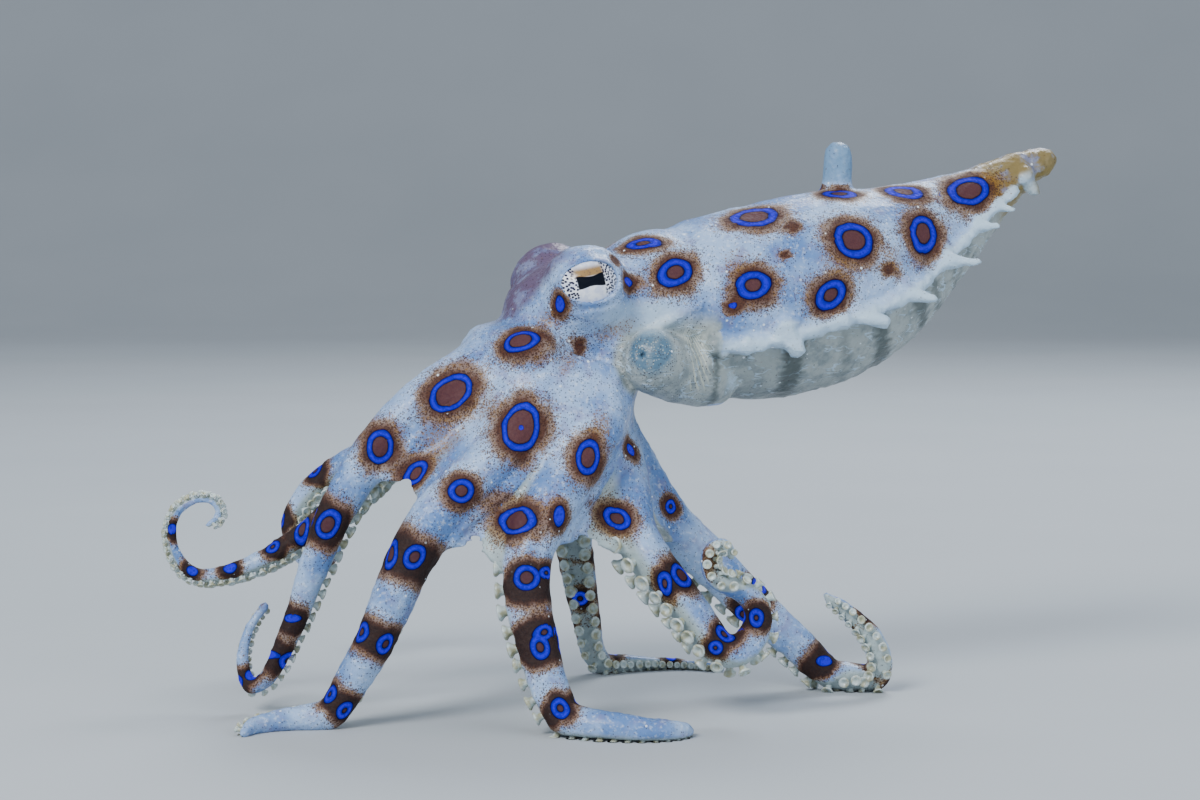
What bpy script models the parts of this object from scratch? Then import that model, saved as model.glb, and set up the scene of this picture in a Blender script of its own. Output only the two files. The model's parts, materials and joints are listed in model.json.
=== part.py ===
"""Blue-ringed octopus, a life-size still model standing on its arms.

The body is worked out in millimetres and written in metres. The floor is z = 0 while the
pieces are made, the head faces -X and is turned a little towards -Y, and the pointed mantle
trails behind it towards +X. At the end all of it is shifted so that the origin is the
bottom centre of the whole.
"""

import math

import bmesh
import bpy
from mathutils import Matrix, Vector

MM = 0.001
GAP = 0.3            # clearance between neighbouring pieces
ARM_GAP = 0.65       # between two lengths of an arm, where the end faces lean a little
FLOOR_DIP = 0.15     # how far an arm that lies on the floor is pressed flat

UP = Vector((0, 0, 1))
BODY_TURN = math.radians(21)
BACK = Vector((math.cos(BODY_TURN), math.sin(BODY_TURN), 0))     # from the head to the mantle
RIGHT = Vector((-math.sin(BODY_TURN), math.cos(BODY_TURN), 0))   # the animal's right-hand side

# Head: centre measured back from the zero point and up, and half sizes (back, side, up).
HEAD_BACK, HEAD_UP = -3.1, 39.4
HEAD_HALF = (7.6, 6.6, 6.4)
NECK_FROM, NECK_TO = -2.0, 15.0
NECK_HALF = (7.6, 7.9)          # side, up
NECK_UP = 39.4
EYE_BACK, EYE_SIDE, EYE_UP = -3.8, 5.9, 42.0
EYE_RADIUS = 3.0
BROW_SIDE, BROW_RADIUS = 4.6, 4.2

# Crown: the ring from which the eight arms spring, below the head.
CROWN_CENTRE = Vector((-3.6, 0.0, 34.4))
CROWN_DOWN = Vector((-0.31, -0.12, -0.94)).normalized()
CROWN_RADIUS = 6.2
CROWN_LOBE = (7.5, 4.2)         # half size across the ring, and along its axis
MOUTH_RADIUS, MOUTH_DROP = 3.3, 4.6

# Mantle: spine as (distance back, height), with half sizes up, down and to the side.
MANTLE = (
    (8.5, 40.0, 8.4, 8.6, 8.4),
    (15.0, 40.2, 9.8, 10.2, 9.6),
    (22.0, 41.0, 10.1, 10.2, 9.8),
    (29.0, 42.9, 9.1, 8.9, 8.8),
    (36.0, 46.4, 6.2, 6.0, 6.0),
    (42.0, 50.1, 3.7, 3.6, 3.6),
    (47.0, 53.1, 2.2, 2.1, 2.1),
    (51.5, 54.7, 1.5, 1.4, 1.4),
)
MANTLE_SPLIT = 0.80             # where the tip is parted from the mantle, along the spine
RIDGE_FROM, RIDGE_TO = 0.07, 0.80
RIDGE_RADIUS = 0.75
# Papillae on each side ridge: place along the spine, length, base radius.
RIDGE_PAPILLAE = (
    (0.08, 2.2, 0.9), (0.19, 2.2, 1.4), (0.325, 3.0, 1.1), (0.44, 3.0, 1.15),
    (0.545, 3.5, 1.1), (0.655, 2.6, 0.9), (0.735, 2.2, 0.7), (0.88, 1.6, 0.7),
)
BACK_PAPILLA = (0.445, 4.0, 1.5)  # the tall blunt one on the mid-line of the back
PAPILLA_SWEEP = 0.75            # how far papillae lean towards the tip

FUNNEL_PATH = ((11.4, 1.5, 33.0), (9.0, -1.0, 33.4), (6.6, -3.6, 33.8), (4.6, -5.6, 33.9))
FUNNEL_RADII = (3.3, 3.6, 3.6, 3.1)
FUNNEL_BORE, FUNNEL_DEPTH = 1.9, 4.0

# Arms, from the front pair back on each side. The first point of each springs from the crown.
ARM_SPREAD = 22.5               # degrees from the mid-line to the first arm; 45 between arms
ARM_PATHS = {
    "left_1": ((-12.6, -5.6, 33.4), (-18, -6.8, 29.8), (-22.4, -7.6, 25.2), (-25.6, -8.2, 20.2),
               (-27.6, -8.4, 15.4), (-29.2, -8.4, 11), (-30.8, -8.2, 7), (-32.4, -8, 3.8),
               (-34.3, -7.4, 2.6), (-35.2, -6.6, 5), (-34.6, -6, 8), (-33, -5.8, 10.4)),
    "left_2": ((-5.5, -8.8, 31.5), (-8.2, -10.9, 27), (-12, -12.6, 23.6), (-15.6, -13.8, 20.2),
               (-18.2, -14.5, 16), (-19.8, -15.2, 12.3), (-21.2, -15.6, 9), (-23.4, -15.8, 5),
               (-25.8, -16, 1.4), (-29.5, -16.6, 0), (-32.5, -18.2, 0), (-33.6, -20.6, 0)),
    "left_3": ((0.2, -8.4, 29.5), (-2.2, -11, 25), (-5, -13.4, 20.5), (-6.8, -15.2, 16.5),
               (-6.8, -16.6, 12.2), (-5.8, -18, 8), (-4.6, -19, 4), (-2.6, -20.4, 0.8),
               (0.8, -22, 0), (4.4, -22.6, 0), (7.2, -21.6, 0), (8.6, -19.4, 0)),
    "left_4": ((1.6, -2.7, 27.6), (2.4, -5.5, 22.8), (2.9, -7.8, 18.8), (4.6, -9.5, 15.6),
               (7.2, -10.4, 12.4), (9.6, -11, 9.3), (11.5, -11.4, 6.9), (13.5, -11.5, 6.7),
               (15, -11.6, 8.6), (15.2, -11.7, 10.8), (14.2, -12, 12.4), (12.6, -12.6, 13.3),
               (11.1, -13.2, 14.1), (10.4, -13.4, 15.6), (10.9, -13.4, 17.1),
               (12.1, -13.4, 17.2), (12.7, -13.3, 16)),
    "right_4": ((1.2, 5.2, 27.4), (3.6, 5.6, 22.4), (6.6, 5.9, 17.8), (11.2, 6, 13.2),
                (16, 6, 8.6), (20.4, 6, 4.6), (23.8, 6, 1.4), (27, 5.8, 0.6), (28.6, 5, 2.6),
                (27.8, 4.6, 5.6), (25.6, 4.4, 8), (23, 4.4, 10)),
    "right_3": ((-3.6, 10.4, 29), (-3.6, 14, 23.5), (-3.2, 16, 17.5), (-2.4, 16.4, 11.8),
                (-1.5, 16.2, 6.4), (-0.4, 16.6, 1.8), (2.6, 18.2, 0), (6.4, 19.6, 0),
                (10.2, 19.6, 0), (13, 17.8, 0)),
    "right_2": ((-12, 9, 32), (-17, 13.2, 27.4), (-22, 17, 24), (-27, 19.6, 21.8),
                (-31, 20.8, 19), (-33, 20.8, 15.6), (-32.2, 20.6, 12.4), (-29.8, 20.4, 11.4),
                (-28.2, 20.4, 12.8), (-28.8, 20.4, 14.6)),
    "right_1": ((-14.6, 1.4, 32), (-19.5, 1.8, 27.2), (-24, 1.4, 21.8), (-28, 0.4, 17.9),
                (-31.4, -0.3, 15.6), (-34.4, -0.6, 14), (-37.4, -0.8, 13),
                (-40.4, -1, 12.8), (-42.2, -1, 14.4), (-42.9, -1, 17), (-42.2, -1, 19.2),
                (-40.4, -1, 20.4), (-38.6, -1, 20.2), (-38, -1, 18.8), (-39.2, -1, 17.8)),
}
ARM_ANGLES = {"left_1": -22.5, "left_2": -67.5, "left_3": -112.5, "left_4": -157.5,
              "right_4": 157.5, "right_3": 112.5, "right_2": 67.5, "right_1": 22.5}
ARM_RADIUS, ARM_ROOT_RADIUS, ARM_TIP_RADIUS = 2.8, 2.1, 0.42
ARM_FULL_AT = 0.16              # share of the length where the arm is thickest
# How each arm thins: below 1 it stays stout towards its tip, above 1 it is drawn out thin.
ARM_TAPER = {"left_1": 1.0, "left_2": 0.6, "left_3": 0.55, "left_4": 0.7,
             "right_4": 0.62, "right_3": 1.1, "right_2": 0.8, "right_1": 1.8}
BASE_END, MIDDLE_END = 0.36, 0.68
MIDDLE_END_OF = {"left_4": 0.58}  # parted before its tight turn
SUCKER_HEIGHT, SUCKER_STEEP, SUCKER_SPLAY = 0.5, 0.9, 0.5

# Web between neighbouring arms: how far down the arms it reaches, and how deep its edge dips.
WEBS = {
    ("left_1", "left_2"): (20.5, 0.12), ("left_2", "left_3"): (24.0, 0.14),
    ("left_3", "left_4"): (20.5, 0.12), ("left_4", "right_4"): (19.5, 0.12),
    ("right_4", "right_3"): (16.0, 0.20), ("right_3", "right_2"): (17.0, 0.20),
    ("right_2", "right_1"): (18.0, 0.16), ("right_1", "left_1"): (20.0, 0.14),
}
WEB_TOP, WEB_THICKNESS, WEB_HOLLOW, WEB_GAP, WEB_LEAST = 4.5, 0.9, 0.14, 0.65, 0.8

FLESH = {
    "mantle": (0.62, 0.66, 0.70), "head": (0.66, 0.71, 0.76), "funnel": (0.60, 0.62, 0.60),
    "arm": (0.64, 0.70, 0.76), "web": (0.62, 0.68, 0.74), "eye": (0.82, 0.85, 0.90),
    "mouth": (0.55, 0.48, 0.42),
}

parts = bpy.data.collections.new("blue_ringed_octopus")
cutters = bpy.data.collections.new("cutters")


def clear_scene():
    for obj in list(bpy.data.objects):
        bpy.data.objects.remove(obj)
    for collection in (parts, cutters):
        bpy.context.scene.collection.children.link(collection)


def flesh(kind):
    """The Principled material of one kind of flesh."""
    material = bpy.data.materials.get(kind) or bpy.data.materials.new(kind)
    material.use_nodes = True
    shader = material.node_tree.nodes["Principled BSDF"]
    shader.inputs["Base Color"].default_value = (*FLESH[kind], 1)
    shader.inputs["Roughness"].default_value = 0.1 if kind == "eye" else 0.4
    shader.inputs["Metallic"].default_value = 0.0
    return material


def add(name, mesh, kind):
    """A finished part, or a cutter where kind is None."""
    obj = bpy.data.objects.new(name, mesh)
    if kind:
        parts.objects.link(obj)
        mesh.materials.clear()
        mesh.materials.append(flesh(kind))
        mesh.shade_smooth()
    else:
        cutters.objects.link(obj)
        obj.hide_render = True
        obj.display_type = "WIRE"
    return obj


def mesh_of(bm, name):
    bmesh.ops.recalc_face_normals(bm, faces=bm.faces)
    mesh = bpy.data.meshes.new(name)
    bm.to_mesh(mesh)
    bm.free()
    return mesh


def boolean(obj, operation, other):
    modifier = obj.modifiers.new(operation.title(), "BOOLEAN")
    modifier.operation = operation
    modifier.object = other
    modifier.solver = "EXACT"
    modifier.use_self = operation == "UNION"


def settle(obj):
    """Replaces the object's mesh with what its modifiers make, so that it can cut others."""
    bpy.context.view_layer.update()
    evaluated = obj.evaluated_get(bpy.context.evaluated_depsgraph_get())
    mesh = bpy.data.meshes.new_from_object(evaluated)
    mesh.shade_smooth()
    obj.modifiers.clear()
    obj.data = mesh
    return obj


# ---------------------------------------------------------------- curves and frames

def smooth_path(points, step):
    """Even steps along a Catmull-Rom curve through the points."""
    points = [Vector(p) for p in points]
    ends = [points[0] * 2 - points[1], *points, points[-1] * 2 - points[-2]]
    fine = []
    for a, b, c, d in zip(ends, ends[1:], ends[2:], ends[3:]):
        for i in range(12):
            t = i / 12
            fine.append(0.5 * (2 * b + (c - a) * t + (2 * a - 5 * b + 4 * c - d) * t * t
                               + (3 * b - a - 3 * c + d) * t * t * t))
    fine.append(points[-1])
    lengths = [0.0]
    for a, b in zip(fine, fine[1:]):
        lengths.append(lengths[-1] + (b - a).length)
    count = max(2, round(lengths[-1] / step))
    path, i = [], 0
    for k in range(count + 1):
        s = lengths[-1] * k / count
        while i < len(fine) - 2 and lengths[i + 1] < s:
            i += 1
        share = (s - lengths[i]) / (lengths[i + 1] - lengths[i])
        path.append(fine[i].lerp(fine[i + 1], share))
    return path


def directions(path):
    ahead = [(path[min(i + 1, len(path) - 1)] - path[max(i - 1, 0)]).normalized()
             for i in range(len(path))]
    return ahead


def carried(path, first):
    """A side vector carried along the path without twist."""
    side, found = first, []
    for ahead in directions(path):
        side = (side - ahead * side.dot(ahead)).normalized()
        found.append(side.copy())
    return found


def tube(name, path, radii, kind, resolution=2):
    """A round tapered tube as a curve object with filled caps, made a mesh."""
    curve = bpy.data.curves.new(name, "CURVE")
    curve.dimensions = "3D"
    curve.bevel_depth = MM
    curve.bevel_resolution = resolution
    curve.use_fill_caps = True
    spline = curve.splines.new("POLY")
    spline.points.add(len(path) - 1)
    for point, place, radius in zip(spline.points, path, radii):
        point.co = (*(place * MM), 1)
        point.radius = radius
    holder = bpy.data.objects.new(name + "_curve", curve)
    bpy.context.scene.collection.objects.link(holder)
    bpy.context.view_layer.update()
    evaluated = holder.evaluated_get(bpy.context.evaluated_depsgraph_get())
    bm = bmesh.new()
    bm.from_mesh(bpy.data.meshes.new_from_object(evaluated))
    bmesh.ops.remove_doubles(bm, verts=bm.verts, dist=0.01 * MM)
    bpy.data.objects.remove(holder)
    return add(name, mesh_of(bm, name), kind)


def ball(bm, centre, axes, halves, segments, rings):
    """An ellipsoid from the sphere primitive: axes are three unit vectors, halves in millimetres."""
    turn = Matrix([[axes[c][r] * halves[c] * MM for c in range(3)] for r in range(3)]).to_4x4()
    place = Matrix.Translation(centre * MM) @ turn
    bmesh.ops.create_uvsphere(bm, u_segments=segments, v_segments=rings, radius=1, matrix=place)


def ball_object(name, centre, axes, halves, kind, segments=12, rings=8):
    bm = bmesh.new()
    ball(bm, centre, axes, halves, segments, rings)
    return add(name, mesh_of(bm, name), kind)


# ---------------------------------------------------------------- mantle

def mantle_at(t):
    """Spine point and half sizes at t from 0, the rim, to 1, the tip."""
    x = t * (len(MANTLE) - 1)
    i = min(int(x), len(MANTLE) - 2)
    rows = [MANTLE[max(0, min(len(MANTLE) - 1, i + k))] for k in (-1, 0, 1, 2)]
    f = x - i
    row = [0.5 * (2 * b + (c - a) * f + (2 * a - 5 * b + 4 * c - d) * f * f
                  + (3 * b - a - 3 * c + d) * f ** 3) for a, b, c, d in zip(*rows)]
    return BACK * row[0] + UP * row[1], row[2:]


def mantle_frame(t):
    here, halves = mantle_at(t)
    ahead = (mantle_at(min(1, t + 0.02))[0] - mantle_at(max(0, t - 0.02))[0]).normalized()
    return here, halves, ahead, RIGHT.cross(ahead) * -1


def mantle_point(t, angle, grow=0.0):
    """A point of the mantle's skin. Angle 0 is the back, 90 the left side, 180 the belly."""
    here, (up, down, side), ahead, rise = mantle_frame(t)
    a = math.radians(angle)
    lift = (up if math.cos(a) > 0 else down) + grow
    return here + rise * lift * math.cos(a) - RIGHT * (side + grow) * math.sin(a)


def mantle_body(name, start, end, kind, segments, rings, grow=0.0):
    """The mantle between two places on its spine, its ends drawn in to a rounded edge."""
    bm = bmesh.new()
    bmesh.ops.create_uvsphere(bm, u_segments=segments, v_segments=rings + 3, radius=1)
    for vert in bm.verts:
        polar = math.acos(max(-1, min(1, -vert.co.z))) / math.pi * (rings + 3)
        angle = math.degrees(math.atan2(vert.co.y, vert.co.x))
        ring = round(polar)
        share = (ring - 1) / (rings + 1)
        shrink = 0.0 if ring in (0, rings + 3) else 0.93 if ring in (1, rings + 2) else 1.0
        t = start + (end - start) * min(1, max(0, share))
        if shrink:
            here = mantle_frame(t)[0]
            place = here + (mantle_point(t, angle, grow) - here) * shrink
        else:
            place = mantle_frame(start if ring == 0 else end)[0]
        vert.co = place * MM
    bmesh.ops.recalc_face_normals(bm, faces=bm.faces)
    return add(name, mesh_of(bm, name), kind)


def eased(value, low, high):
    """A smooth step from 0 at low to 1 at high."""
    x = min(1, max(0, (value - low) / (high - low)))
    return x * x * (3 - 2 * x)


def ridge_angle(t):
    """How far round from the middle of the back the side ridge runs, in degrees."""
    return 116 - 12 * eased(t, 0.0, 0.3) - 4 * eased(t, 0.4, 0.65) + 6 * eased(t, 0.7, 0.9)


def papilla(bm, root, out, lean, length, radius, end):
    """A cone that grows out of the skin and leans towards the tip; end is its top radius."""
    axis = (out + lean * PAPILLA_SWEEP).normalized()
    turn = UP.rotation_difference(axis).to_matrix().to_4x4()
    middle = root + axis * (length / 2 - 0.5)
    bmesh.ops.create_cone(bm, cap_ends=True, segments=6, radius1=radius * MM,
                          radius2=end * MM, depth=(length + 1) * MM,
                          matrix=Matrix.Translation(middle * MM) @ turn)


def papillae(start, end):
    """All the papillae that stand between two places on the spine, as one cutter object."""
    bm = bmesh.new()
    for side in (-1, 1):
        for t, length, radius in RIDGE_PAPILLAE:
            if start < t < end:
                here, _, ahead, _ = mantle_frame(t)
                root = mantle_point(t, ridge_angle(t) * side, 0.1)
                papilla(bm, root, (root - here).normalized(), ahead, length, radius, 0.35)
    t, length, radius = BACK_PAPILLA
    if start < t < end:
        papilla(bm, mantle_point(t, 4), UP, Vector(), length, radius, radius * 0.8)
    return add(f"papillae_{start}", mesh_of(bm, "papillae"), None)


def ridge(start, end, side):
    path = []
    count = max(3, round((end - start) * 16))
    for k in range(count + 1):
        t = start + (end - start) * k / count
        path.append(mantle_point(t, ridge_angle(t) * side, 0.05))
    radii = [RIDGE_RADIUS * (1 - 0.5 * (start + (end - start) * k / count))
             for k in range(count + 1)]
    return tube(f"ridge_{start}_{side}", path, radii, None, 1)


def make_mantle():
    gap = GAP / 2 / 45
    pieces = {"mantle": (0.0, MANTLE_SPLIT - gap, 10), "mantle_tip": (MANTLE_SPLIT + gap, 1.0, 3)}
    for name, (start, end, rings) in pieces.items():
        body = mantle_body(name, start, end, "mantle", 16 if name == "mantle" else 12, rings)
        for side in (-1, 1):
            if name == "mantle":
                boolean(body, "UNION", ridge(RIDGE_FROM, RIDGE_TO - 0.02, side))
                settle(body)
        boolean(body, "UNION", papillae(start, end))
        settle(body)


# ---------------------------------------------------------------- head, eyes and funnel

def head_point(back, side, height):
    return BACK * back + RIGHT * side + UP * height


def head_solid(name, grow, kind):
    """Head, neck, brows and the lobe that carries the arms, joined. grow makes a cutter."""
    axes = (BACK, RIGHT, UP)
    half = [h + grow for h in HEAD_HALF]
    head = ball_object(name, head_point(HEAD_BACK, 0, HEAD_UP), axes, half, kind, 14, 9)
    extras = []
    middle, reach = (NECK_FROM + NECK_TO) / 2, (NECK_TO - NECK_FROM) / 2
    extras.append(ball_object(f"{name}_neck", head_point(middle, 0, NECK_UP), axes,
                              (reach + grow, NECK_HALF[0] + grow, NECK_HALF[1] + grow),
                              None, 14, 9))
    for side in (-1, 1):
        centre = head_point(EYE_BACK + 0.5, BROW_SIDE * side, EYE_UP - 0.4)
        radius = BROW_RADIUS + grow
        extras.append(ball_object(f"{name}_brow_{side}", centre, axes, (radius,) * 3, None, 12, 8))
    across = CROWN_DOWN.orthogonal().normalized()
    frame = (across, CROWN_DOWN.cross(across), CROWN_DOWN)
    lobe = (CROWN_LOBE[0] + grow, CROWN_LOBE[0] + grow, CROWN_LOBE[1] + grow)
    extras.append(ball_object(f"{name}_lobe", CROWN_CENTRE, frame, lobe, None, 14, 6))
    for extra in extras:
        boolean(head, "UNION", extra)
        settle(head)
    return head


def make_eyes_and_head():
    head = head_solid("head", 0, "head")
    for word, side in (("left", -1), ("right", 1)):
        centre = head_point(EYE_BACK, EYE_SIDE * side, EYE_UP)
        axes = (BACK, UP, RIGHT)
        ball_object(f"eye_{word}", centre, axes, (EYE_RADIUS,) * 3, "eye", 14, 8)
        socket = ball_object(f"socket_{word}", centre, axes, (EYE_RADIUS + GAP,) * 3, None, 14, 8)
        boolean(head, "DIFFERENCE", socket)
        settle(head)
    return head


def make_funnel(neck_cutter, mantle_cutter, arm):
    path = smooth_path(FUNNEL_PATH, 1.6)
    last = len(path) - 1
    radii = []
    for i in range(len(path)):
        x = i / last * (len(FUNNEL_RADII) - 1)
        k = min(int(x), len(FUNNEL_RADII) - 2)
        radii.append(FUNNEL_RADII[k] + (FUNNEL_RADII[k + 1] - FUNNEL_RADII[k]) * (x - k))
    funnel = tube("funnel", path, radii, "funnel", 3)
    ahead = (path[-1] - path[-2]).normalized()
    bore = tube("funnel_bore", [path[-1] - ahead * FUNNEL_DEPTH, path[-1] + ahead],
                [FUNNEL_BORE * 0.6, FUNNEL_BORE], None, 2)
    stops = arm.stretch(0.5, 12.0, 1.5)
    arm_cutter = tube("funnel_clearance", [arm.at(s)[0] for s in stops],
                      [arm.at(s)[1] + GAP * 1.3 for s in stops], None, 3)
    for cutter in (neck_cutter, mantle_cutter, arm_cutter):
        boolean(funnel, "DIFFERENCE", cutter)
        settle(funnel)
    boolean(funnel, "DIFFERENCE", bore)
    return settle(funnel)


# ---------------------------------------------------------------- arms and web

def crown_side():
    """Two unit vectors across the crown: towards the front of the head, and to the right."""
    side = (RIGHT - CROWN_DOWN * RIGHT.dot(CROWN_DOWN)).normalized()
    return side.cross(CROWN_DOWN).normalized(), side


def arm_root(name):
    front, side = crown_side()
    a = math.radians(ARM_ANGLES[name])
    out = front * math.cos(a) + side * math.sin(a)
    return CROWN_CENTRE + out * CROWN_RADIUS, out


def arm_radius(u, taper):
    """Radius at share u of the arm's length."""
    if u < ARM_FULL_AT:
        f = u / ARM_FULL_AT
        return ARM_ROOT_RADIUS + (ARM_RADIUS - ARM_ROOT_RADIUS) * f * f * (3 - 2 * f)
    f = (u - ARM_FULL_AT) / (1 - ARM_FULL_AT)
    return ARM_TIP_RADIUS + (ARM_RADIUS - ARM_TIP_RADIUS) * (1 - f) ** taper


class Arm:
    """One arm's centre line, with the outward side carried along it."""

    def __init__(self, name):
        root, out = arm_root(name)
        self.path = smooth_path([root, *ARM_PATHS[name]], 0.5)
        count = len(self.path) - 1
        self.length = 0.5 * count
        self.radii = [arm_radius(i / count, ARM_TAPER[name]) for i in range(count + 1)]
        for i, place in enumerate(self.path):
            place.z = max(place.z, self.radii[i] - FLOOR_DIP)
        self.length = sum((b - a).length for a, b in zip(self.path, self.path[1:]))
        self.step = self.length / count
        self.ahead = directions(self.path)
        self.out = carried(self.path, out)

    def at(self, s):
        """Place, radius, forward direction and outward direction at distance s from the root."""
        x = max(0.0, min(len(self.path) - 1.001, s / self.step))
        i, f = int(x), x - int(x)
        radius = self.radii[i] + (self.radii[i + 1] - self.radii[i]) * f
        return (self.path[i].lerp(self.path[i + 1], f), radius,
                self.ahead[i].lerp(self.ahead[i + 1], f).normalized(),
                self.out[i].lerp(self.out[i + 1], f).normalized())

    def stretch(self, start, end, step):
        """Distances from start to end, about step apart."""
        count = max(2, round((end - start) / step))
        return [start + (end - start) * k / count for k in range(count + 1)]


def grow_suckers(obj, arm, stops, first):
    """Raises one stud on the inner side of each length of the tube beyond first, in two rows."""
    bm = bmesh.new()
    bm.from_mesh(obj.data)
    bm.normal_update()
    row = 1
    for start, end in zip(stops, stops[1:]):
        middle = (arm.at(start)[0] + arm.at(end)[0]) / 2 * MM
        _, radius, ahead, out = arm.at((start + end) / 2)
        axis = (out.cross(ahead) * -SUCKER_SPLAY * row - out * SUCKER_STEEP).normalized()
        near = [f for f in bm.faces if (f.calc_center_median() - middle).length < radius * 1.1 * MM
                and abs(f.normal.dot(ahead)) < 0.5]
        if near and start > first:
            face = max(near, key=lambda f: f.normal.dot(axis))
            stud = bmesh.ops.extrude_discrete_faces(bm, faces=[face])["faces"][0]
            centre = stud.calc_center_median()
            height = (SUCKER_HEIGHT * radius + 0.25) * MM
            for vert in stud.verts:
                vert.co = centre + (vert.co - centre) * 0.85 + axis * height
        row = -row
    bm.to_mesh(obj.data)
    bm.free()


def make_arm(name, arm, head_cutter, floor_cutter):
    middle_end = MIDDLE_END_OF.get(name, MIDDLE_END)
    cuts = (0.0, BASE_END * arm.length, middle_end * arm.length, arm.length)
    steps = {"base": 2.7, "middle": 2.0, "tip": 1.5}
    for (word, step), start, end in zip(steps.items(), cuts, cuts[1:]):
        low = start + (ARM_GAP / 2 if start else 0)
        high = end - (ARM_GAP / 2 if end < arm.length else 0)
        stops = arm.stretch(low, high, step)
        piece = tube(f"arm_{name}_{word}", [arm.at(s)[0] for s in stops],
                     [arm.at(s)[1] for s in stops], "arm", 2)
        if word == "base":
            boolean(piece, "DIFFERENCE", head_cutter)
        else:
            grow_suckers(piece, arm, stops, max(WEBS[pair][0] for pair in WEBS if name in pair))
            boolean(piece, "DIFFERENCE", floor_cutter)
        settle(piece)


def between(one, two, s):
    """The clear stretch between two arms at distance s: its two ends and its length."""
    a, radius_a, ahead_a, _ = one.at(s)
    b, radius_b, ahead_b, _ = two.at(s)
    width = (b - a).length
    line = (b - a) / width
    start = (radius_a + WEB_GAP) / (1 - line.dot(ahead_a) ** 2) ** 0.5
    end = width - (radius_b + WEB_GAP) / (1 - line.dot(ahead_b) ** 2) ** 0.5
    return a + line * start, a + line * end, end - start


def make_web(pair, arms, head_cutter):
    """The thin wall between two arms, from the crown down to a curved free edge."""
    reach, dip = WEBS[pair]
    one, two = arms[pair[0]], arms[pair[1]]
    top = WEB_TOP
    while between(one, two, top)[2] < WEB_LEAST:
        top += 0.25
    columns, rows = 4, 5
    bm = bmesh.new()
    bmesh.ops.create_grid(bm, x_segments=columns, y_segments=rows, size=1)
    for vert in bm.verts:
        u, v = (vert.co.x + 1) / 2, (vert.co.y + 1) / 2
        s = top + (reach - top) * v
        a, b, width = between(one, two, s)
        out = (one.at(s)[3] + two.at(s)[3]).normalized()
        upward = -(one.at(s)[2] + two.at(s)[2]).normalized()
        arch = 4 * u * (1 - u)
        place = a.lerp(b, u) - out * arch * width * WEB_HOLLOW
        place += upward * arch * dip * reach * v
        vert.co = place * MM
    name = f"web_{pair[0]}_{pair[1]}"
    web = add(name, mesh_of(bm, name), "web")
    shell = web.modifiers.new("Thickness", "SOLIDIFY")
    shell.thickness = WEB_THICKNESS * MM
    shell.offset = 0
    settle(web)
    boolean(web, "DIFFERENCE", head_cutter)
    settle(web)


def make_mouth(head_cutter):
    place = CROWN_CENTRE + CROWN_DOWN * MOUTH_DROP
    across = CROWN_DOWN.orthogonal().normalized()
    frame = (across, CROWN_DOWN.cross(across), CROWN_DOWN)
    mouth = ball_object("mouth", place, frame, (MOUTH_RADIUS, MOUTH_RADIUS, 1.6), "mouth", 10, 6)
    boolean(mouth, "DIFFERENCE", head_cutter)
    settle(mouth)


def centre_on_floor():
    """Shifts every part so that the origin is the bottom centre of the whole."""
    low, high = Vector((1e9,) * 3), Vector((-1e9,) * 3)
    for obj in parts.objects:
        for vert in obj.data.vertices:
            low = Vector(map(min, low, vert.co))
            high = Vector(map(max, high, vert.co))
    shift = Vector(((low.x + high.x) / 2, (low.y + high.y) / 2, low.z))
    for obj in parts.objects:
        obj.data.transform(Matrix.Translation(-shift))


def main():
    clear_scene()
    head = make_eyes_and_head()
    head_cutter = head_solid("head_cutter", GAP, None)
    make_mantle()
    mantle_cutter = mantle_body("mantle_cutter", -0.01, 0.4, None, 16, 6, GAP * 1.5)
    mantle = parts.objects["mantle"]
    boolean(mantle, "DIFFERENCE", head_cutter)
    settle(mantle)
    arms = {name: Arm(name) for name in ARM_PATHS}
    make_funnel(head_cutter, mantle_cutter, arms["left_4"])
    floor = bmesh.new()
    bmesh.ops.create_cube(floor, size=1, matrix=Matrix.Diagonal((0.3, 0.3, 0.02, 1))
                          @ Matrix.Translation((0, 0, -0.5)))
    floor_cutter = add("floor_cutter", mesh_of(floor, "floor"), None)
    for name, arm in arms.items():
        make_arm(name, arm, head_cutter, floor_cutter)
    for pair in WEBS:
        make_web(pair, arms, head_cutter)
    make_mouth(head_cutter)
    centre_on_floor()


main()
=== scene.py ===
import json
import math

import bmesh
import bpy
import numpy as np
from mathutils import Matrix, Vector
from mathutils.bvhtree import BVHTree
from mathutils.kdtree import KDTree

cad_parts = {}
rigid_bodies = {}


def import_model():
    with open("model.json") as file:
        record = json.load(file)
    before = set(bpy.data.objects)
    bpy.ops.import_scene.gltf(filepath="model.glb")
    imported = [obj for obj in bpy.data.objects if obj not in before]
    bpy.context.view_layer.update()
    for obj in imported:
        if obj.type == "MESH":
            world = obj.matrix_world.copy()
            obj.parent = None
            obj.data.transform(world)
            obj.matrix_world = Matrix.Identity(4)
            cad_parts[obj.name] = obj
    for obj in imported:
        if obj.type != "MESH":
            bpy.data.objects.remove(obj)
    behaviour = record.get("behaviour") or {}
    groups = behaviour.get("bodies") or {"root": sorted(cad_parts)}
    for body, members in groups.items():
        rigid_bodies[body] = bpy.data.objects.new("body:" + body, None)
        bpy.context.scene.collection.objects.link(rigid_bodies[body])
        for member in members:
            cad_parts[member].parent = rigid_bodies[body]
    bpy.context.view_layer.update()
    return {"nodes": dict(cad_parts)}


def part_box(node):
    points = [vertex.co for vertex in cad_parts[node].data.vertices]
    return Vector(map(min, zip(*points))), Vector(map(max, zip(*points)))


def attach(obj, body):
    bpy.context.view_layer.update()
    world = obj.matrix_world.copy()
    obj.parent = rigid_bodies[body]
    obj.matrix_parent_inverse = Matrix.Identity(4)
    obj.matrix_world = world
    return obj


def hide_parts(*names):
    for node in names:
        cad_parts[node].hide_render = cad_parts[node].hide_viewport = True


for leftOver in list(bpy.data.objects):
    bpy.data.objects.remove(leftOver)
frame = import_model()

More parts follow.
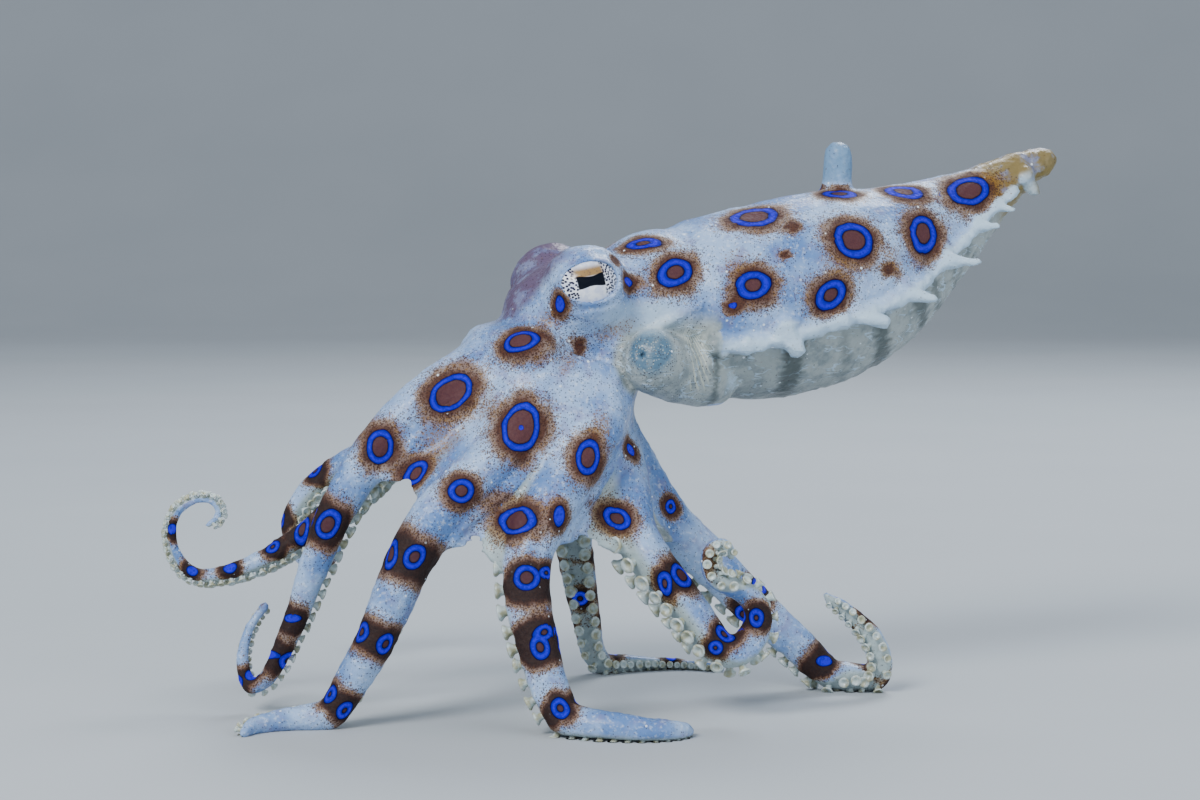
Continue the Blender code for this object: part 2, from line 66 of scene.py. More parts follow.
# The animal is shaped in millimetres with the floor at z = 0, its head towards -X and turned
# a little to -Y, and is put in its place in metres at the end.
mm = 0.001
up = Vector((0, 0, 1))
bodyTurn = math.radians(21)
back = Vector((math.cos(bodyTurn), math.sin(bodyTurn), 0))
right = Vector((-math.sin(bodyTurn), math.cos(bodyTurn), 0))
fleshNodes = sorted(name for name in frame["nodes"] if not name.startswith("eye") and name != "mouth")

head = {
    # rounded forms: middle (distance back, side, height), then half sizes back, side and up
    "forms": (((-2.6, 0, 38.9), (7.4, 6.8, 5.5)),        # between the brows, lower than they are
              ((6.5, 0, 39.4), (8.5, 7.7, 8.0)),         # neck
              ((7.6, 0, 40.5), (12.0, 7.8, 5.8)),        # nape
              ((-8.8, -2.2, 35.6), (3.6, 6.0, 2.7)),     # where the forehead meets the web
              ((-10.3, 1.0, 36.4), (3.0, 5.5, 1.9))),
    "jaw": ((1.6, -4.8, 35.6), (2.0, 2.2, 2.6)),         # below the near eye, beside the funnel
    "neckAt": 6.5, "neckReach": 8.5, "neckHalf": (7.6, 7.9), "neckUp": 39.4,
    "browSide": 4.6, "browRadius": 4.35,
    # the fold of skin that runs from below the eye back to the mantle: distance back and height
    "fold": ((0.0, 36.6), (3.2, 37.8), (6.6, 39.6), (9.6, 41.2)), "foldRadius": 0.5,
}
eye = {
    "back": -3.8, "side": 5.9, "up": 42.0,
    "ball": (3.4, 2.9, 3.0),      # half sizes: along the body, up, outwards
    "opening": (2.85, 1.95),      # half sizes of the gap between the lids
    "openAt": (-0.1, 0.45),       # middle of the gap from the middle of the ball
    "tilt": 10.5,                 # degrees, the rear end up
    "lidHeight": 0.13,
}
crown = {
    "centre": Vector((-3.6, 0.0, 34.4)), "down": Vector((-0.31, -0.12, -0.94)).normalized(),
    "radius": 6.2, "lobe": (6.9, 4.2), "mouthDrop": 4.6,
}
mantle = {
    # spine: distance back, height, and half sizes up, down and to the side
    "rows": ((8.5, 40.0, 7.9, 8.6, 8.4), (15.0, 40.2, 9.2, 10.2, 9.6),
             (22.0, 41.0, 9.7, 10.2, 9.8), (29.0, 42.9, 9.0, 8.9, 8.8),
             (36.0, 46.4, 6.2, 6.0, 6.0), (42.0, 50.1, 3.7, 3.6, 3.6),
             (46.6, 52.9, 2.2, 2.1, 2.1), (50.2, 54.3, 1.6, 1.5, 1.5)),
    "ridge": (0.02, 0.80), "ridgeRadius": 0.95,
    # papillae on each side ridge: place along the spine, length, base and end radius,
    # then how far they point outwards, backwards and down
    "papillae": ((0.035, 1.3, 0.9, 0.6, 0.35, 0.0, 0.6), (0.165, 1.7, 1.6, 0.95, 0.45, 0.35, 0.7),
                 (0.315, 2.7, 1.15, 0.7, 0.6, 0.75, 0.3), (0.43, 2.7, 1.2, 0.4, 0.75, 0.65, 0.3),
                 (0.535, 3.4, 1.4, 0.35, 0.8, 0.65, 0.3), (0.645, 2.3, 1.0, 0.3, 0.75, 0.6, 0.3),
                 (0.72, 2.0, 0.8, 0.3, 0.75, 0.4, 0.4), (0.86, 1.5, 1.0, 0.7, 0.2, 0.1, 1.0)),
    "backPapilla": (0.445, 4.0, 1.6, 1.42), "backPapillaAngle": -5,
}
funnel = {
    "path": ((11.4, 1.5, 33.0), (9.6, -1.0, 33.2), (7.4, -3.6, 33.6), (5.9, -5.6, 34.2), (5.2, -6.9, 34.6)),
    "radii": (3.3, 3.5, 3.3, 3.2, 3.2), "opening": 0.4, "depth": 0.9,
}
arms = {
    "spread": {"left_1": -22.5, "left_2": -67.5, "left_3": -112.5, "left_4": -157.5,
               "right_4": 157.5, "right_3": 112.5, "right_2": 67.5, "right_1": 22.5},
    "radius": 2.8, "rootRadius": 2.1, "tipRadius": 0.42, "fullAt": 0.16, "floorDip": 0.15,
    "taper": {"left_1": 1.2, "left_2": 0.6, "left_3": 0.55, "left_4": 0.7,
              "right_4": 0.62, "right_3": 1.1, "right_2": 0.8, "right_1": 1.8},
    "suckersFrom": {"left_4": 18.5}, "suckerGap": 1.12,     # the gap is a share of a sucker's size
    "rootReach": {"left_4": 4.5},     # arms whose root lies nearer the middle of the crown
    # turn of the sucker side about the arm: from and to a distance along it, degrees
    "twist": {"left_4": ((31.0, 37.0, 70.0), (40.0, 44.0, -95.0)),
              "right_4": ((8.0, 17.0, 75.0), (37.0, 42.0, -90.0))},
    "paths": {
        "left_1": ((-12.6, -5.6, 33.4), (-18, -6.8, 29.8), (-22.4, -7.6, 25.2), (-25.6, -8.2, 20.2),
                   (-27.6, -8.4, 15.4), (-29.2, -8.4, 11), (-30.8, -8.2, 7), (-32.4, -8, 3.8),
                   (-34.3, -7.4, 2.6), (-35.2, -6.6, 5), (-34.6, -6, 8), (-33, -5.8, 10.4)),
        "left_2": ((-5.5, -8.8, 31.5), (-8.2, -10.9, 27), (-12, -12.6, 23.6), (-15.6, -13.8, 20.2),
                   (-18.2, -14.5, 16), (-19.8, -15.2, 12.3), (-21.2, -15.6, 9), (-23.4, -15.8, 5),
                   (-25.8, -16, 1.4), (-29.5, -16.6, 0), (-32.5, -18.2, 0), (-33.6, -20.6, 0)),
        "left_3": ((0.2, -8.4, 29.5), (-2.2, -11, 25), (-5, -13.4, 20.5), (-6.8, -15.2, 16.5),
                   (-6.8, -16.6, 12.2), (-5.8, -18, 8), (-4.6, -19, 4), (-2.6, -20.4, 0.8),
                   (0.8, -22, 0), (4.4, -22.6, 0), (7.2, -21.6, 0), (8.6, -19.4, 0)),
        "left_4": ((0.7, -2.9, 27.6), (2.2, -5.5, 22.8), (2.9, -7.8, 18.8), (4.6, -9.5, 15.6),
                   (7.2, -10.4, 12.4), (9.6, -11, 9.3), (11.5, -11.4, 6.9), (13.5, -11.5, 6.7),
                   (15, -11.6, 8.6), (15.2, -11.7, 10.8), (14.2, -12, 12.4), (12.6, -12.6, 13.3),
                   (11.1, -13.2, 14.1), (10.4, -13.4, 15.6), (10.9, -13.4, 17.1),
                   (12.1, -13.4, 17.2), (12.7, -13.3, 16)),
        "right_4": ((1.2, 5.2, 27.4), (3.6, 5.6, 22.4), (6.6, 5.9, 17.8), (11.2, 6, 13.2),
                    (16, 6, 8.6), (20.4, 6, 4.6), (23.8, 6, 1.4), (27, 5.8, 0.6), (28.6, 5, 2.6),
                    (27.8, 4.6, 5.6), (25.6, 4.4, 8), (23, 4.4, 10)),
        "right_3": ((-3.6, 10.4, 29), (-3.6, 14, 23.5), (-3.2, 16, 17.5), (-2.4, 16.4, 11.8),
                    (-1.5, 16.2, 6.4), (-0.4, 16.6, 1.8), (2.6, 18.2, 0), (6.4, 19.6, 0),
                    (10.2, 19.6, 0), (13, 17.8, 0)),
        "right_2": ((-12, 9, 32), (-17, 13.2, 27.4), (-22, 17, 24), (-27, 19.6, 21.8),
                    (-31, 20.8, 19), (-33, 20.8, 15.6), (-32.2, 20.6, 12.4), (-29.8, 20.4, 11.4),
                    (-28.2, 20.4, 12.8), (-28.8, 20.4, 14.6)),
        "right_1": ((-14.6, 1.4, 32), (-19.5, 1.8, 27.2), (-24, 1.4, 21.8), (-28, 0.4, 17.9),
                    (-31.4, -0.3, 15.6), (-34.4, -0.6, 14), (-37.4, -0.8, 13),
                    (-40.4, -1, 12.8), (-42.2, -1, 14.4), (-42.9, -1, 17), (-42.2, -1, 19.2),
                    (-40.4, -1, 20.4), (-38.6, -1, 20.2), (-38, -1, 18.8), (-39.2, -1, 17.8)),
    },
}
webs = {
    # how far down the arms each web reaches, and how deep its free edge dips
    "reach": {("left_1", "left_2"): (20.5, 0.12), ("left_2", "left_3"): (24.0, 0.14),
              ("left_3", "left_4"): (20.5, 0.12), ("left_4", "right_4"): (19.5, 0.12),
              ("right_4", "right_3"): (16.0, 0.20), ("right_3", "right_2"): (17.0, 0.20),
              ("right_2", "right_1"): (18.0, 0.16), ("right_1", "left_1"): (20.0, 0.14)},
    "top": 1.5, "thickness": 0.85, "topThickness": 3.2, "edgeThickness": 0.45, "hollow": 0.14, "gap": 0.65,
    "fillet": 0.9, "filletReach": 1.1,
}


def curvePoint(a, b, c, d, t):
    # a share t of the way from b to c on a Catmull-Rom curve
    return 0.5 * (2 * b + (c - a) * t + (2 * a - 5 * b + 4 * c - d) * t * t
                  + (3 * b - a - 3 * c + d) * t * t * t)


def smoothPath(points, step):
    # even steps along a smooth curve through the points
    pieces = 12
    points = [Vector(p) for p in points]
    ends = [points[0] * 2 - points[1], *points, points[-1] * 2 - points[-2]]
    fine = [curvePoint(*four, i / pieces)
            for four in zip(ends, ends[1:], ends[2:], ends[3:]) for i in range(pieces)]
    fine.append(points[-1])
    lengths = [0.0]
    for a, b in zip(fine, fine[1:]):
        lengths.append(lengths[-1] + (b - a).length)
    count = max(2, round(lengths[-1] / step))
    path, i = [], 0
    for k in range(count + 1):
        s = lengths[-1] * k / count
        while i < len(fine) - 2 and lengths[i + 1] < s:
            i += 1
        path.append(fine[i].lerp(fine[i + 1], (s - lengths[i]) / (lengths[i + 1] - lengths[i])))
    return path


def directions(path):
    return [(path[min(i + 1, len(path) - 1)] - path[max(i - 1, 0)]).normalized()
            for i in range(len(path))]


def carried(path, first):
    # a side vector carried along the path without twist
    side, found = first, []
    for ahead in directions(path):
        side = (side - ahead * side.dot(ahead)).normalized()
        found.append(side.copy())
    return found


def rise(value, low, high):
    # smooth step from 0 at low to 1 at high, for arrays and numbers
    x = np.clip((value - low) / (high - low), 0, 1)
    return x * x * (3 - 2 * x)


def headPoint(alongBack, side, height):
    return back * alongBack + right * side + up * height


def mantleAt(t):
    rows = mantle["rows"]
    x = t * (len(rows) - 1)
    i = min(int(x), len(rows) - 2)
    near = [rows[max(0, min(len(rows) - 1, i + k))] for k in (-1, 0, 1, 2)]
    row = [curvePoint(*four, x - i) for four in zip(*near)]
    return back * row[0] + up * row[1], row[2:]


def mantleFrame(t):
    # middle of the sack, half sizes up, down and to the side, direction of the tail, and upwards
    here, halves = mantleAt(t)
    ahead = (mantleAt(min(1, t + 0.02))[0] - mantleAt(max(0, t - 0.02))[0]).normalized()
    return here, halves, ahead, right.cross(ahead) * -1


def mantlePoint(t, angle, grow=0.0):
    # angle 0 is the back, 90 the left side, 180 the belly
    here, (high, low, side), _, rising = mantleFrame(t)
    a = math.radians(angle)
    lift = (high if math.cos(a) > 0 else low) + grow
    return here + rising * lift * math.cos(a) - right * (side + grow) * math.sin(a)


def ridgeAngle(t):
    # degrees from the back to the side ridge, along the mantle
    return 116 - 12 * rise(t, 0.0, 0.3) - 4 * rise(t, 0.4, 0.65) + 6 * rise(t, 0.7, 0.9)


def crownSide():
    # the crown's forward and right-hand directions
    side = (right - crown["down"] * right.dot(crown["down"])).normalized()
    return side.cross(crown["down"]).normalized(), side


def armRadius(u, taper):
    # u runs from 0 at the root to 1 at the tip
    if u < arms["fullAt"]:
        f = u / arms["fullAt"]
        return arms["rootRadius"] + (arms["radius"] - arms["rootRadius"]) * f * f * (3 - 2 * f)
    f = (u - arms["fullAt"]) / (1 - arms["fullAt"])
    return arms["tipRadius"] + (arms["radius"] - arms["tipRadius"]) * (1 - f) ** taper


class Arm:
    # one arm's centre line, with the outward side carried along it
    def __init__(self, name):
        front, side = crownSide()
        a = math.radians(arms["spread"][name])
        out = front * math.cos(a) + side * math.sin(a)
        self.name = name
        reach = arms["rootReach"].get(name, crown["radius"])
        self.path = smoothPath([crown["centre"] + out * reach, *arms["paths"][name]], 0.5)
        count = len(self.path) - 1
        self.radii = [armRadius(i / count, arms["taper"][name]) for i in range(count + 1)]
        for place, radius in zip(self.path, self.radii):
            place.z = max(place.z, radius - arms["floorDip"])
        self.length = sum((b - a).length for a, b in zip(self.path, self.path[1:]))
        self.step = self.length / count
        self.ahead = directions(self.path)
        self.out = carried(self.path, out)
        for start, end, degrees in arms["twist"].get(name, ()):
            for i in range(count + 1):
                turn = math.radians(degrees) * float(rise(i * self.step, start, end))
                self.out[i] = Matrix.Rotation(turn, 3, self.ahead[i]) @ self.out[i]

    def at(self, s):
        x = max(0.0, min(len(self.path) - 1.001, s / self.step))
        i, f = int(x), x - int(x)
        return (self.path[i].lerp(self.path[i + 1], f),
                self.radii[i] + (self.radii[i + 1] - self.radii[i]) * f,
                self.ahead[i].lerp(self.ahead[i + 1], f).normalized(),
                self.out[i].lerp(self.out[i + 1], f).normalized())


def suckerSize(radius):
    return 0.2 + 0.27 * radius


def suckerStops(arm):
    # distances along the arm of its suckers, alternately in the two rows
    s, stops = arms["suckersFrom"].get(arm.name, 5.0), []
    while s < arm.length - 0.4:
        stops.append(s)
        s += arms["suckerGap"] * suckerSize(arm.at(s)[1])
    return stops


def circleTurn(sides):
    return np.arange(sides) * 2 * math.pi / sides


def hoop(centre, out, along, radius, turn):
    # points round a centre, from the outward side and square to the direction along
    side, out = np.asarray(out.cross(along)), np.asarray(out)
    radius = np.reshape(radius, (-1, 1))
    return np.asarray(centre) + radius * (np.cos(turn)[:, None] * out + np.sin(turn)[:, None] * side)


def loft(rings):
    # closed solid through rings of points, its two ends closed to their middles
    rings = np.asarray(rings, float)
    count, sides = rings.shape[:2]
    points = np.vstack([rings.reshape(-1, 3), rings[0].mean(0), rings[-1].mean(0)])
    i = np.arange(count - 1)[:, None] * sides
    j = np.arange(sides)[None, :]
    k = (j + 1) % sides
    quads = np.stack([i + j, i + k, i + sides + k, i + sides + j], -1).reshape(-1, 4).tolist()
    first, last, end = count * sides, count * sides + 1, (count - 1) * sides
    caps = [(first, (n + 1) % sides, n) for n in range(sides)]
    caps += [(last, end + n, end + (n + 1) % sides) for n in range(sides)]
    return points, quads + caps


def ellipsoid(centre, axes, halves, sides=48, rings=32):
    loops = []
    turn = circleTurn(sides)
    for r in range(1, rings):
        polar = math.pi * r / rings
        local = np.stack([np.sin(polar) * np.cos(turn), np.sin(polar) * np.sin(turn),
                          np.full(sides, math.cos(polar))], -1) * halves
        loops.append(np.asarray(centre) + local @ np.asarray(axes, float))
    return loft(loops)


def roundTube(path, radii, sides):
    # a tube with rounded ends
    ahead = directions(path)
    outs = carried(path, ahead[0].orthogonal())
    turn = circleTurn(sides)
    bulge = ((0.45, 0.89), (0.8, 0.6), (0.98, 0.2))    # shares of the end radius: forwards and wide
    loops = [hoop(path[0] - ahead[0] * radii[0] * x, outs[0], ahead[0], radii[0] * y, turn)
             for x, y in reversed(bulge)]
    loops += [hoop(*here, turn) for here in zip(path, outs, ahead, radii)]
    loops += [hoop(path[-1] + ahead[-1] * radii[-1] * x, outs[-1], ahead[-1], radii[-1] * y, turn)
              for x, y in bulge]
    return loft(loops)


def armSolid(arm):
    # rounded outside, flatter under the suckers, with a scalloped edge between the two
    section = {"sides": 28, "flat": 0.16, "edge": 0.13, "edgeAngle": 112, "edgeSpread": 20, "step": 0.35,
               "low": 0.55, "scallop": 0.9, "scallopFrom": 5, "fullFrom": 9}
    stops = suckerStops(arm)
    turn = circleTurn(section["sides"])
    fromOut = np.degrees(np.abs(np.where(turn > math.pi, turn - 2 * math.pi, turn)))
    flat = section["flat"] * np.clip(-np.cos(turn), 0, 1) ** 1.5
    edge = section["edge"] * np.exp(-((fromOut - section["edgeAngle"]) / section["edgeSpread"]) ** 2)
    loops, fine = [], [0.0]
    while fine[-1] + section["step"] < arm.length:
        fine.append(fine[-1] + section["step"])
    fine.append(arm.length)
    for s in fine:
        place, radius, ahead, out = arm.at(s)
        size = suckerSize(radius)
        near = min(abs(s - stop) for stop in stops[::2]) if s > section["scallopFrom"] else size
        scallop = section["scallop"] * max(0.0, 1 - (near / (arms["suckerGap"] * size)) ** 2)
        shape = 1 - flat + edge * (section["low"] + scallop) * min(1.0, s / section["fullFrom"])
        loops.append(hoop(place, out, ahead, radius * shape, turn))
    tip = np.asarray(arm.path[-1])
    lastAhead, lastLoop = np.asarray(arm.ahead[-1]), loops[-1]
    for x, y in ((0.5, 0.85), (0.85, 0.5), (0.98, 0.2)):
        loops.append(tip + lastAhead * arms["tipRadius"] * x + (lastLoop - tip) * y)
    return loft(loops)


def webSolid(pair, one, two):
    # a wall of flesh between two arms, thick at the crown and thin at its free edge
    reach, dip = webs["reach"][pair]
    columns, rows = 40, 46
    loops = []
    for r in range(rows + 1):
        v = r / rows
        s = webs["top"] + (reach - webs["top"]) * v
        a, radiusA, aheadA, outA = one.at(s)
        b, radiusB, aheadB, outB = two.at(s)
        width = (b - a).length
        line = (b - a) / max(width, 1e-6)
        slantA = math.sqrt(max(0.05, 1 - line.dot(aheadA) ** 2))
        slantB = math.sqrt(max(0.05, 1 - line.dot(aheadB) ** 2))
        start = min((radiusA + webs["gap"]) / slantA, width * 0.45)
        end = max(width - (radiusB + webs["gap"]) / slantB, width * 0.55)
        out = (outA + outB).normalized()
        upward = -(aheadA + aheadB).normalized()
        face, rear = [], []
        for c in range(columns + 1):
            w = c / columns
            x = w * width
            u = min(1.0, max(0.0, (x - start) / (end - start)))
            arch = 4 * u * (1 - u)
            place = a.lerp(b, w) - out * arch * (end - start) * webs["hollow"]
            place += upward * arch * dip * reach * v
            fillet = math.exp(-max(0, x - start) / webs["filletReach"])
            fillet = webs["fillet"] * (fillet + math.exp(-max(0, end - x) / webs["filletReach"]))
            thick = webs["thickness"] + webs["topThickness"] * (1 - v) ** 1.7 + fillet * (1 - 0.6 * v)
            if r == rows:
                thick *= webs["edgeThickness"]
            outside = 0.35 * min(radiusA, radiusB) * (1 - v) ** 1.5
            face.append(np.asarray(place + out * (outside + thick / 2)))
            rear.append(np.asarray(place + out * (outside - thick / 2)))
        loops.append(face + rear[::-1])
    return loft(loops)


def mantleSolid():
    # the sack, drawn in at its front, with a soft lip along the opening below
    lip = {"height": 0.35, "width": 0.022}
    frontEnd = ((0.93, 0.0), (0.8, 0.0), (0.5, 0.0))      # how wide the closing rows are, and how far on
    tailEnd = ((0.87, 0.5), (0.62, 0.9), (0.25, 1.2))
    sides, rows = 96, 110
    loops = []
    for r in range(-len(frontEnd), rows + 1 + len(tailEnd)):
        t = min(1.0, max(0.0, r / rows))
        shrink, push = 1.0, 0.0
        if r < 0:
            shrink, push = frontEnd[-r - 1]
        if r > rows:
            shrink, push = tailEnd[r - rows - 1]
        here, _, ahead, _ = mantleFrame(t)
        loop = []
        for c in range(sides):
            angle = 360 * c / sides
            below = float(rise(abs(180 - angle), 95, 60))
            grow = lip["height"] * below * math.exp(-(t / lip["width"]) ** 2)
            place = here + (mantlePoint(t, angle, grow) - here) * shrink + ahead * push
            loop.append(np.asarray(place))
        loops.append(loop)
    return loft(loops)


def papillaSolid(root, out, lean, length, radius, end):
    # a soft finger that grows out of the skin and curves over
    steps, sunk = 8, 0.12
    path, radii = [], []
    for k in range(steps + 1):
        f = k / steps
        path.append(root + out * (length * (f - sunk)) + lean * length * f * f)
        radii.append(end + (radius - end) * (1 - f) ** 1.4 + radius * max(0, 0.25 - f))
    return roundTube(path, radii, 16)


def backRoot():
    # where the papilla on the back stands
    return mantlePoint(mantle["backPapilla"][0], mantle["backPapillaAngle"])


def ridgeAndPapillae():
    # the knobbed ridge along each side of the mantle, and the soft fingers on it and on the back
    found = []
    start, end = mantle["ridge"]
    steps = 60
    for side in (-1, 1):
        path, radii = [], []
        for k in range(steps + 1):
            t = start + (end - start) * k / steps
            knobs = 1 + 0.18 * math.sin(k * 1.3 + side) + 0.12 * math.sin(k * 2.9)
            path.append(mantlePoint(t, ridgeAngle(t) * side, 0.35))
            radii.append(mantle["ridgeRadius"] * (1 - 0.6 * t) * knobs)
        found.append(roundTube(path, radii, 14))
        for t, length, radius, tip, outwards, backwards, down in mantle["papillae"]:
            here, _, ahead, rising = mantleFrame(t)
            root = mantlePoint(t, ridgeAngle(t) * side, 0.1)
            out = (root - here).normalized() * outwards - rising * down * 0.4
            lean = ahead * backwards - rising * down * 0.6
            found.append(papillaSolid(root, out, lean, length, radius, tip))
    _, length, radius, tip = mantle["backPapilla"]
    found.append(papillaSolid(backRoot(), up, back * 0.02, length, radius, tip))
    return found


def mantleLip():
    # the free edge of the mantle's opening, round its sides and below
    lip = {"from": 96, "radius": 0.42, "steps": 80, "fade": 14}
    path, radii = [], []
    for k in range(lip["steps"] + 1):
        angle = lip["from"] + (360 - 2 * lip["from"]) * k / lip["steps"]
        path.append(mantlePoint(0.006, angle, -0.12))
        radii.append(lip["radius"] * (0.25 + 0.75 * float(rise(min(k, lip["steps"] - k), 0, lip["fade"]))))
    return roundTube(path, radii, 14)


def neckSide(alongBack, height):
    # half width of the neck at a place on its side
    left = 1 - ((alongBack - head["neckAt"]) / head["neckReach"]) ** 2
    left -= ((height - head["neckUp"]) / head["neckHalf"][1]) ** 2
    return head["neckHalf"][0] * math.sqrt(max(0.3, left))


def collarFolds():
    found = []
    for side in (-1, 1):
        path = smoothPath([headPoint(b, side * neckSide(b, z), z) for b, z in head["fold"]], 0.4)
        radii = [head["foldRadius"] * (0.5 + 0.5 * math.sin(math.pi * k / (len(path) - 1)))
                 for k in range(len(path))]
        found.append(roundTube(path, radii, 12))
    return found


def headSolids():
    axes = (back, right, up)
    found = [ellipsoid(headPoint(*middle), axes, halves) for middle, halves in head["forms"]]
    found.append(ellipsoid(Vector(head["jaw"][0]), axes, head["jaw"][1]))
    for side in (-1, 1):
        centre = headPoint(eye["back"] + 0.5, head["browSide"] * side, eye["up"] - 0.4)
        found.append(ellipsoid(centre, axes, (head["browRadius"],) * 3))
    across, down = crown["down"].orthogonal().normalized(), crown["down"]
    wide, deep = crown["lobe"]
    found.append(ellipsoid(crown["centre"], (across, down.cross(across), down), (wide, wide, deep)))
    return found


def funnelSolid():
    # a stout tube with a domed end and a small puckered opening in it
    path = smoothPath(funnel["path"], 0.5)
    ahead = directions(path)
    outs = carried(path, up)
    turn = circleTurn(32)
    last = len(path) - 1
    radii = np.interp(np.arange(last + 1) / last, np.linspace(0, 1, len(funnel["radii"])), funnel["radii"])
    loops = [hoop(*here, turn) for here in zip(path, outs, ahead, radii)]
    end, way, out, big = path[-1], ahead[-1], outs[-1], funnel["radii"][-1]
    for angle in range(12, 80, 9):
        a = math.radians(angle)
        loops.append(hoop(end + way * big * 0.92 * math.sin(a), out, way, big * math.cos(a), turn))
    lipAt = end + way * big * 0.9
    for drop, wide in ((0.0, 1.1), (0.25, 0.85), (0.6, 0.7), (funnel["depth"], 0.45)):
        loops.append(hoop(lipAt - way * drop, out, way, funnel["opening"] * wide, turn))
    return loft(loops)


def newObject(name, points, faces):
    mesh = bpy.data.meshes.new(name)
    mesh.from_pydata(points, [], faces)
    mesh.update()
    obj = bpy.data.objects.new(name, mesh)
    bpy.context.scene.collection.objects.link(obj)
    return obj


def joined(solids, name):
    points, faces, base = [], [], 0
    for solidPoints, solidFaces in solids:
        points.append(solidPoints)
        faces += [tuple(base + n for n in face) for face in solidFaces]
        base += len(solidPoints)
    return newObject(name, np.vstack(points).tolist(), faces)


def settle(obj):
    # replaces the mesh with what its modifiers make
    bpy.context.view_layer.update()
    evaluated = obj.evaluated_get(bpy.context.evaluated_depsgraph_get())
    made = bpy.data.meshes.new_from_object(evaluated)
    obj.modifiers.clear()
    obj.data = made
    return obj


def readVectors(values, name):
    found = np.zeros(len(values) * 3, np.float32)
    values.foreach_get(name, found)
    return found.reshape(-1, 3).astype(float)


def meshPoints(mesh):
    return readVectors(mesh.vertices, "co")


def meshNormals(mesh):
    return readVectors(mesh.vertices, "normal")


def setPoints(mesh, points):
    mesh.vertices.foreach_set("co", points.astype(np.float32).ravel())
    mesh.update()


def smoothed(mesh, rounds, factor):
    # each round draws every point towards the mean of its neighbours by its own factor
    points = meshPoints(mesh)
    ends = np.zeros(len(mesh.edges) * 2, np.int32)
    mesh.edges.foreach_get("vertices", ends)
    a, b = ends[0::2], ends[1::2]
    count = np.bincount(a, minlength=len(points)) + np.bincount(b, minlength=len(points))
    for _ in range(rounds):
        mean = np.empty_like(points)
        for axis in range(3):
            total = np.bincount(a, points[b, axis], len(points))
            total += np.bincount(b, points[a, axis], len(points))
            mean[:, axis] = total / count
        points += (mean - points) * factor[:, None]
    return points


def wave(points, scale, seed):
    # a cheap smooth noise between -1 and 1: sums of sines in fixed random directions
    rng = np.random.default_rng(seed)
    total = np.zeros(len(points))
    sines, turnOnce = 7, 6.283
    for _ in range(sines):
        way, bend = rng.normal(size=(2, 3))
        way, bend = way / np.linalg.norm(way), bend / np.linalg.norm(bend)
        size = scale * (0.7 + 0.6 * rng.random())
        total += np.sin(points @ way * turnOnce / size + rng.random() * turnOnce
                        + 1.3 * np.sin(points @ bend * turnOnce / (size * 1.7) + rng.random() * turnOnce))
    return total / sines * 1.6


def distanceTo(points, spot):
    return np.linalg.norm(points - np.asarray(spot), axis=1)


print("arms and body")
armList = {name: Arm(name) for name in arms["paths"]}
bodySolids = [mantleSolid(), *headSolids(), *(armSolid(arm) for arm in armList.values())]
bodySolids += [webSolid(pair, armList[pair[0]], armList[pair[1]]) for pair in webs["reach"]]
crispSolids = [funnelSolid(), mantleLip(), *collarFolds(), *ridgeAndPapillae()]

skinMaking = {
    "coarse": 0.3, "fine": 0.21,    # sizes of the grid
    "bodyRounds": 22, "skinRounds": 4,                    # rounds of softening
    "triangles": 178000,
    # where the body is softened: middle, radius of full softening, radius where it ends, strength
    "zones": ((crown["centre"] + Vector((-2.0, 0, -3.0)), 9.5, 16.5, 0.5),
              (headPoint(-2, 0, 40), 8.5, 11.5, 0.16),
              (headPoint(9.0, 0, 48.0), 7.5, 11.5, 0.6),
              (headPoint(-9.5, -3.5, 36.6), 5.5, 9.5, 0.7)),
}


def remeshed(obj, voxel):
    remesh = obj.modifiers.new("One skin", "REMESH")
    remesh.mode = "VOXEL"
    remesh.voxel_size = voxel
    return settle(obj)


def makeSkinMesh():
    # the body is softened where flesh flows into flesh, then the crisp forms grow out of it
    body = remeshed(joined(bodySolids, "body"), skinMaking["coarse"])
    points = meshPoints(body.data)
    soft = np.zeros(len(points))
    for centre, full, none, strength in skinMaking["zones"]:
        soft = np.maximum(soft, strength * (1 - rise(distanceTo(points, centre), full, none)))
    setPoints(body.data, smoothed(body.data, skinMaking["bodyRounds"], soft))
    bodyFaces = [tuple(p.vertices) for p in body.data.polygons]
    whole = joined([(meshPoints(body.data), bodyFaces), *crispSolids], "skin")
    bpy.data.objects.remove(body)
    remeshed(whole, skinMaking["fine"])
    count = len(whole.data.vertices)
    setPoints(whole.data, smoothed(whole.data, skinMaking["skinRounds"], np.full(count, 0.5)))
    return whole


skin = makeSkinMesh()
print("one skin", len(skin.data.polygons))


def eyeLocal(points, side):
    # coordinates about an eye: towards the tail, up and outwards, turned by the eye's tilt
    centre = np.asarray(headPoint(eye["back"], eye["side"] * side, eye["up"]))
    away = points - centre
    a, b, c = away @ np.asarray(back), away @ np.asarray(up), away @ np.asarray(right) * side
    tilt = math.radians(eye["tilt"])
    return a * math.cos(tilt) + b * math.sin(tilt), b * math.cos(tilt) - a * math.sin(tilt), c


def eyeGap(a, b):
    # 1 on the rim of the gap between the lids, less inside it
    return np.hypot((a - eye["openAt"][0]) / eye["opening"][0], (b - eye["openAt"][1]) / eye["opening"][1])


def refineAroundEyes(mesh):
    # smaller faces where the lids are shaped
    inner, outer = 0.6, 1.5
    bm = bmesh.new()
    bm.from_mesh(mesh)
    chosen = set()
    points = meshPoints(mesh)
    for side in (-1, 1):
        a, b, c = eyeLocal(points, side)
        q = eyeGap(a, b)
        near = (q < outer) & (q > inner) & (c > 0)
        bm.verts.ensure_lookup_table()
        for n in np.nonzero(near)[0]:
            chosen.update(bm.verts[int(n)].link_edges)
    bmesh.ops.subdivide_edges(bm, edges=list(chosen), cuts=1, use_grid_fill=True)
    bmesh.ops.triangulate(bm, faces=[f for f in bm.faces if len(f.verts) > 4])
    bm.to_mesh(mesh)
    bm.free()


